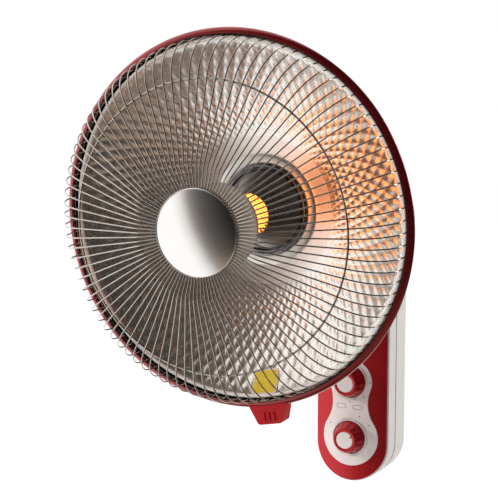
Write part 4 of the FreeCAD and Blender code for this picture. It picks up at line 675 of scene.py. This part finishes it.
# %% [markdown]
# ## Heating coil
# The wire is curled into a thin spring, and that spring is wound nine times round the ceramic core. A helix round a
# helix gives it: the centre line goes round the core, and the wire goes round the centre line. Carrying a small
# circle along that path makes the wire solid.

# %% Heating coil
COIL_R, STRAND_R, GAUGE = 18.65, 1.62, 0.66
COIL_BACK, COIL_FRONT, COIL_TURNS = -42.0, 22.0, 9
CURLS, CURL_STEPS, COIL_SIDES = 270, 10, 6
t = np.linspace(0, 1, CURLS * CURL_STEPS + 1)
a = 2 * math.pi * COIL_TURNS * t
w = 2 * math.pi * CURLS * t
climb = COIL_BACK + (COIL_FRONT - COIL_BACK) * t
line = on_head(COIL_R + STRAND_R * np.cos(w), climb + STRAND_R * np.sin(w), a)
centre = on_head(COIL_R, climb, a)
along = np.gradient(line, axis=0)
along /= np.linalg.norm(along, axis=1, keepdims=True)
across = line - centre
across -= np.sum(across * along, axis=1, keepdims=True) * along
across /= np.linalg.norm(across, axis=1, keepdims=True)
beside = np.cross(along, across)
around = 2 * math.pi * np.arange(COIL_SIDES) / COIL_SIDES
coil = line[:, None] + MM * GAUGE * (np.cos(around)[None, :, None] * across[:, None]
                                     + np.sin(around)[None, :, None] * beside[:, None])
ends = np.stack([np.arange(COIL_SIDES)[::-1], (len(coil) - 1) * COIL_SIDES + np.arange(COIL_SIDES)])
make_piece("curled_coil", coil, [grid_faces(len(coil), COIL_SIDES, wrap_rows=False), ends], glow_wire, "head",
           ("heating_coil",), 70.0)

# %% [markdown]
# ## Softened mouldings
# A moulding has no knife edges: every edge has a small radius, and that thin line of light tells the eye that it is
# plastic. The CAD solids of the column, the arm, the cover and the grip already have the right form, so they are
# copied and only their edges rounded. The copy's loose triangles are merged and flat neighbours joined first, so that
# the Bevel modifier meets whole faces.

# %% Soft edges
def soften(node, name, material, body, width):
    """A copy of a CAD solid whose sharp edges get a bevel of the given width in mm."""
    mesh = bpy.data.meshes.new(name)
    work = bmesh.new()
    work.from_mesh(nodes[node].data)
    bmesh.ops.remove_doubles(work, verts=work.verts, dist=2e-6)
    bmesh.ops.dissolve_limit(work, angle_limit=math.radians(0.5), verts=work.verts, edges=work.edges)
    work.to_mesh(mesh)
    work.free()
    for layer in ("custom_normal", "UVMap"):
        if layer in mesh.attributes:
            mesh.attributes.remove(mesh.attributes[layer])
    mesh.shade_smooth()
    mesh.materials.clear()
    mesh.materials.append(material)
    piece = bpy.data.objects.new(name, mesh)
    bpy.context.scene.collection.objects.link(piece)
    bevel = piece.modifiers.new("soft_edges", "BEVEL")
    bevel.width = width * MM
    bevel.segments = 3
    bevel.limit_method = "ANGLE"
    bevel.angle_limit = math.radians(SHARP)
    bevel.harden_normals = True
    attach(piece, body)
    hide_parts(node)
    print("%-20s %6d points before its bevel" % (name, len(mesh.vertices)))
    return piece


soften("front_housing", "front_moulding", white_abs, "column", 0.8)
soften("rear_housing", "rear_moulding", white_abs, "column", 0.8)
soften("front_panel", "red_front", red_lacquer, "column", 0.5)
soften("dial_plate", "dial_face", pearl_abs, "column", 0.35)
soften("arm_body", "arm_moulding", white_abs, "column", 0.8)
soften("arm_lid", "arm_cover", white_abs, "column", 0.5)
soften("swing_neck", "neck_moulding", white_abs, "neck", 0.8)
soften("rear_cover", "vented_cover", rim_lacquer, "head", 0.5)
soften("grip_tab", "ribbed_grip", red_abs, "head", 0.7)

# %% [markdown]
# The two housings meet in a seam all round the column, which shows as a dark line. A thin black strip in it is painted
# shade, for the shadow in the gap between the housings. It is the outline of the column, a half circle below and two
# rounded corners above, with a small square section.

# %% Seam of the column
COL_W, COL_TOP, COL_BOTTOM, COL_CORNER, SEAM_Y = 90.0, 133.0, -161.0, 22.0, -28.0


def column_outline(grow):
    """The outline in mm, grown by a distance: arcs of the bottom half circle and of the two upper corners."""
    w, c = COL_W / 2 + grow, COL_CORNER + grow
    return np.concatenate([arc((0, COL_BOTTOM + COL_W / 2), w, 180, 360, 61),
                           arc((w - c, COL_TOP + grow - c), c, 0, 90, 15),
                           arc((c - w, COL_TOP + grow - c), c, 90, 180, 15)])


# Painted shade: a black strip along the seam, for the shadow in the gap between the two housings.
section = [(-0.5, -0.7), (0.08, -0.7), (0.08, 0.7), (-0.5, 0.7)]
seam_shade = np.stack([MM * np.insert(column_outline(out), 1, SEAM_Y + depth, axis=1) for out, depth in section], axis=1)
make_piece("seam_shade_strip", seam_shade, [grid_faces(*seam_shade.shape[:2])], rubber_and_shade_black, "column")

# %% [markdown]
# ## Knobs
# Each knob is a tapered turning with twelve shallow flutes for the fingers. The side is a grid of height and turn,
# and the flutes are a wave of the turn that is taken off the radius. The disc in its face is a CAD solid and keeps
# its pointer notch.

# %% Fluted knobs
KNOB_R, KNOB_FACE_R, KNOB_H = 18.8, 14.4, 15.6
FLUTES, FLUTE_DEPTH, KNOB_STEPS = 12, 0.9, 192
DISC_SEAT = KNOB_H - 1.2


def knob_piece(name, node, body):
    """Radius at height h and turn t: profile(h) - depth * window(h) * (0.5 - 0.5 cos(12 t))^2, where the window
    opens above the skirt and closes at the rounded front edge."""
    low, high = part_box(node)
    side_h = np.linspace(2.6, 13.2, 14)
    side_r = KNOB_R - (KNOB_R - KNOB_FACE_R) * (side_h - 2.0) / (KNOB_H - 3.6)
    profile = np.concatenate([[[0.0, 0.0], [18.2, 0.0], [18.6, 0.2], [KNOB_R, 0.7], [KNOB_R, 1.7], [18.65, 2.2]],
                              np.stack([side_r, side_h], -1), arc((12.6, 13.5), (2.0, 2.1), 12, 90, 8),
                              [[10.3, KNOB_H], [10.05, KNOB_H - 0.2], [10.0, DISC_SEAT], [0.0, DISC_SEAT]]])
    turns = 2 * math.pi * np.arange(KNOB_STEPS) / KNOB_STEPS
    h = profile[:, 1]
    window = np.clip((h - 2.4) / 1.6, 0, 1) * np.clip((15.4 - h) / 2.0, 0, 1) * (profile[:, 0] > 11)
    wave = (0.5 - 0.5 * np.cos(FLUTES * turns)) ** 2
    r = profile[None, :, 0] - FLUTE_DEPTH * window[None] * wave[:, None]
    points = np.stack([MM * r * np.cos(turns)[:, None], high.y - MM * np.broadcast_to(h[None], r.shape),
                       (low.z + high.z) / 2 + MM * r * np.sin(turns)[:, None]], axis=-1)
    return make_piece(name, points, [grid_faces(len(turns), len(profile))], red_lacquer, body, (node,), 40.0)


knob_piece("heat_grip", "heat_knob", "heat_dial")
knob_piece("timer_grip", "timer_knob", "timer_dial")

# %% [markdown]
# A small red pip sits in the notch of each disc and points to the setting. On the real knob it could be a part of
# the red moulding that shows through the disc. Here it is half an ellipsoid, so that it catches one point of light.

# %% Pointers of the knobs
PIP_ROWS, PIP_STEPS, PIP_AT = 7, 24, 8.4
PIP_LONG, PIP_WIDE, PIP_HIGH, NOTCH = 1.3, 0.9, 0.7, 0.55


def pointer_pip(name, node, body, angle):
    """A low red dome in the disc's notch: reach s and turn t give (long s cos t, wide s sin t), and its height over
    the notch is high sqrt(1 - s^2). The angle in degrees turns it about the knob's axis."""
    low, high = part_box(node)
    s, t = np.meshgrid(np.sin(np.linspace(0, math.pi / 2, PIP_ROWS)), 2 * math.pi * np.arange(PIP_STEPS) / PIP_STEPS,
                       indexing="ij")
    along, across = PIP_AT + PIP_LONG * s * np.cos(t), PIP_WIDE * s * np.sin(t)
    c, d = math.cos(math.radians(angle)), math.sin(math.radians(angle))
    points = np.stack([MM * (along * c - across * d), low.y + MM * (NOTCH - PIP_HIGH * np.sqrt(1 - s * s)),
                       (low.z + high.z) / 2 + MM * (along * d + across * c)], axis=-1)
    base = np.arange(PIP_STEPS)[None, :] + (PIP_ROWS - 1) * PIP_STEPS
    return make_piece(name, points, [grid_faces(PIP_ROWS, PIP_STEPS, wrap_rows=False), base], red_lacquer, body)


pointer_pip("heat_pointer", "heat_knob_disc", "heat_dial", 90.0)
pointer_pip("timer_pointer", "timer_knob_disc", "timer_dial", 28.0)

# %% [markdown]
# ## Marks on the dial
# The dial has printed dots round both knobs and two small lozenge outlines between them. Ink has almost no height,
# but as thin raised shapes the marks stay sharp from any distance. They lie on the bowed face of the dial plate, so
# their depth follows its curve.

# %% Dial marks
DIAL_CURVE, KNOB_SUNK = 158.0, 0.8
knob_low, knob_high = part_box("heat_knob")
HEAT_Z = (knob_low.z + knob_high.z) / 2
knob_low, knob_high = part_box("timer_knob")
TIMER_Z = (knob_low.z + knob_high.z) / 2
dial_crest = knob_high.y - KNOB_SUNK * MM


def on_dial(x, z, lift):
    """Points on the dial's face, lift mm in front of it: y = crest + R - sqrt(R^2 - x^2) - lift."""
    x, z, lift = np.broadcast_arrays(x, z, lift)
    y = dial_crest + MM * (DIAL_CURVE - np.sqrt(DIAL_CURVE ** 2 - x ** 2) - lift)
    return np.stack([MM * x, y, z], axis=-1)


DOT_R, DOT_SIDES = 0.75, 14
HEAT_DOTS, TIMER_DOTS = (24.0, HEAT_Z, (0, -45, -90)), (28.0, TIMER_Z, (150, 65, 35))
dots = np.array([[r * math.cos(a), z + MM * r * math.sin(a)]
                 for r, z, angles in (HEAT_DOTS, TIMER_DOTS) for a in np.radians(angles)])
spokes = 2 * math.pi * np.arange(DOT_SIDES) / DOT_SIDES
rings = np.array([[1.0, -0.3], [1.0, 0.06], [0.85, 0.12], [0.0, 0.12]])
reach = DOT_R * rings[None, None, :, 0]
points = on_dial(dots[:, None, None, 0] + reach * np.cos(spokes)[None, :, None],
                 dots[:, None, None, 1] + MM * reach * np.sin(spokes)[None, :, None], rings[None, None, :, 1])
each = DOT_SIDES * len(rings)
faces = repeat_faces(grid_faces(DOT_SIDES, len(rings), wrap_columns=False), len(dots), each)
bases = repeat_faces(np.arange(DOT_SIDES)[None, :] * len(rings), len(dots), each)
make_piece("dial_dots", points, [faces, bases], grey_ink, "column")

# %% Lozenge outlines
LOZENGE_X, LOZENGE_HALF, LOZENGE_UP, LOZENGE_STEPS = np.array([-10.5, 9.5]), 3.2, 3.0, 48
t = 2 * math.pi * np.arange(LOZENGE_STEPS) / LOZENGE_STEPS
bars = np.array([[2.75, -0.3], [2.75, 0.1], [2.3, 0.1], [2.3, -0.3]])
mid_z = (HEAT_Z + TIMER_Z) / 2 + LOZENGE_UP * MM
ends = LOZENGE_X[:, None, None] + LOZENGE_HALF * np.sign(np.cos(t))[None, :, None]
x = ends + bars[None, None, :, 0] * np.cos(t)[None, :, None]
z = mid_z + MM * bars[None, None, :, 0] * np.sin(t)[None, :, None]
points = on_dial(x, z, bars[None, None, :, 1])
faces = repeat_faces(grid_faces(LOZENGE_STEPS, len(bars)), len(LOZENGE_X), LOZENGE_STEPS * len(bars))
make_piece("dial_lozenges", points, [faces], grey_ink, "column")

# %% [markdown]
# ## Bare plate on the dish
# A yellow paper plate with a pale edge sticks to the lower part of the dish. It stays bare. It is a patch of the
# parabola between two radii and two turns, with its corners cut, lifted a little so that it lies on the embossing.

# %% Paper plate
PLATE_R, PLATE_TURN = 166.5, math.radians(279.6)
PLATE_HALF_H, PLATE_HALF_W, PLATE_THICK = 11.0, 13.9, 0.35
CUT_START, CUT_DEPTH = 0.8, 0.16
ROWS, COLUMNS = 25, 13


def paper(name, margin, lift, material):
    """A patch in two parameters from -1 to 1: r = middle + p half height, turn = middle + q half width (1 - cut),
    where cut grows as |p| nears 1. Margin in mm makes it smaller all round."""
    p, q = np.meshgrid(np.linspace(-1, 1, ROWS), np.linspace(-1, 1, COLUMNS), indexing="ij")
    r = PLATE_R + (PLATE_HALF_H - margin) * p
    cut = np.clip((np.abs(p) - CUT_START) / (1 - CUT_START), 0, 1) * CUT_DEPTH
    turn = PLATE_TURN + ((PLATE_HALF_W - margin) / PLATE_R) * q * (1 - cut)
    front = on_head(r, dish_f(r) + lift, turn)
    rear = on_head(r, dish_f(r) + lift - PLATE_THICK, turn)
    faces = grid_faces(ROWS, COLUMNS, False, False)
    number = np.arange(ROWS * COLUMNS).reshape(ROWS, COLUMNS)
    ring = np.concatenate([number[0], number[1:, -1], number[-1, -2::-1], number[-2:0:-1, 0]])
    after = np.roll(ring, -1)
    walls = np.stack([ring, ring + number.size, after + number.size, after], axis=-1)
    points = np.stack([front, rear])
    make_piece(name, points, [faces, faces[:, ::-1] + number.size, walls], material, "head")


paper("pale_plate_edge", 0.0, 1.25, pale_paper)
paper("bare_yellow_plate", 1.2, 1.40, yellow_paper)
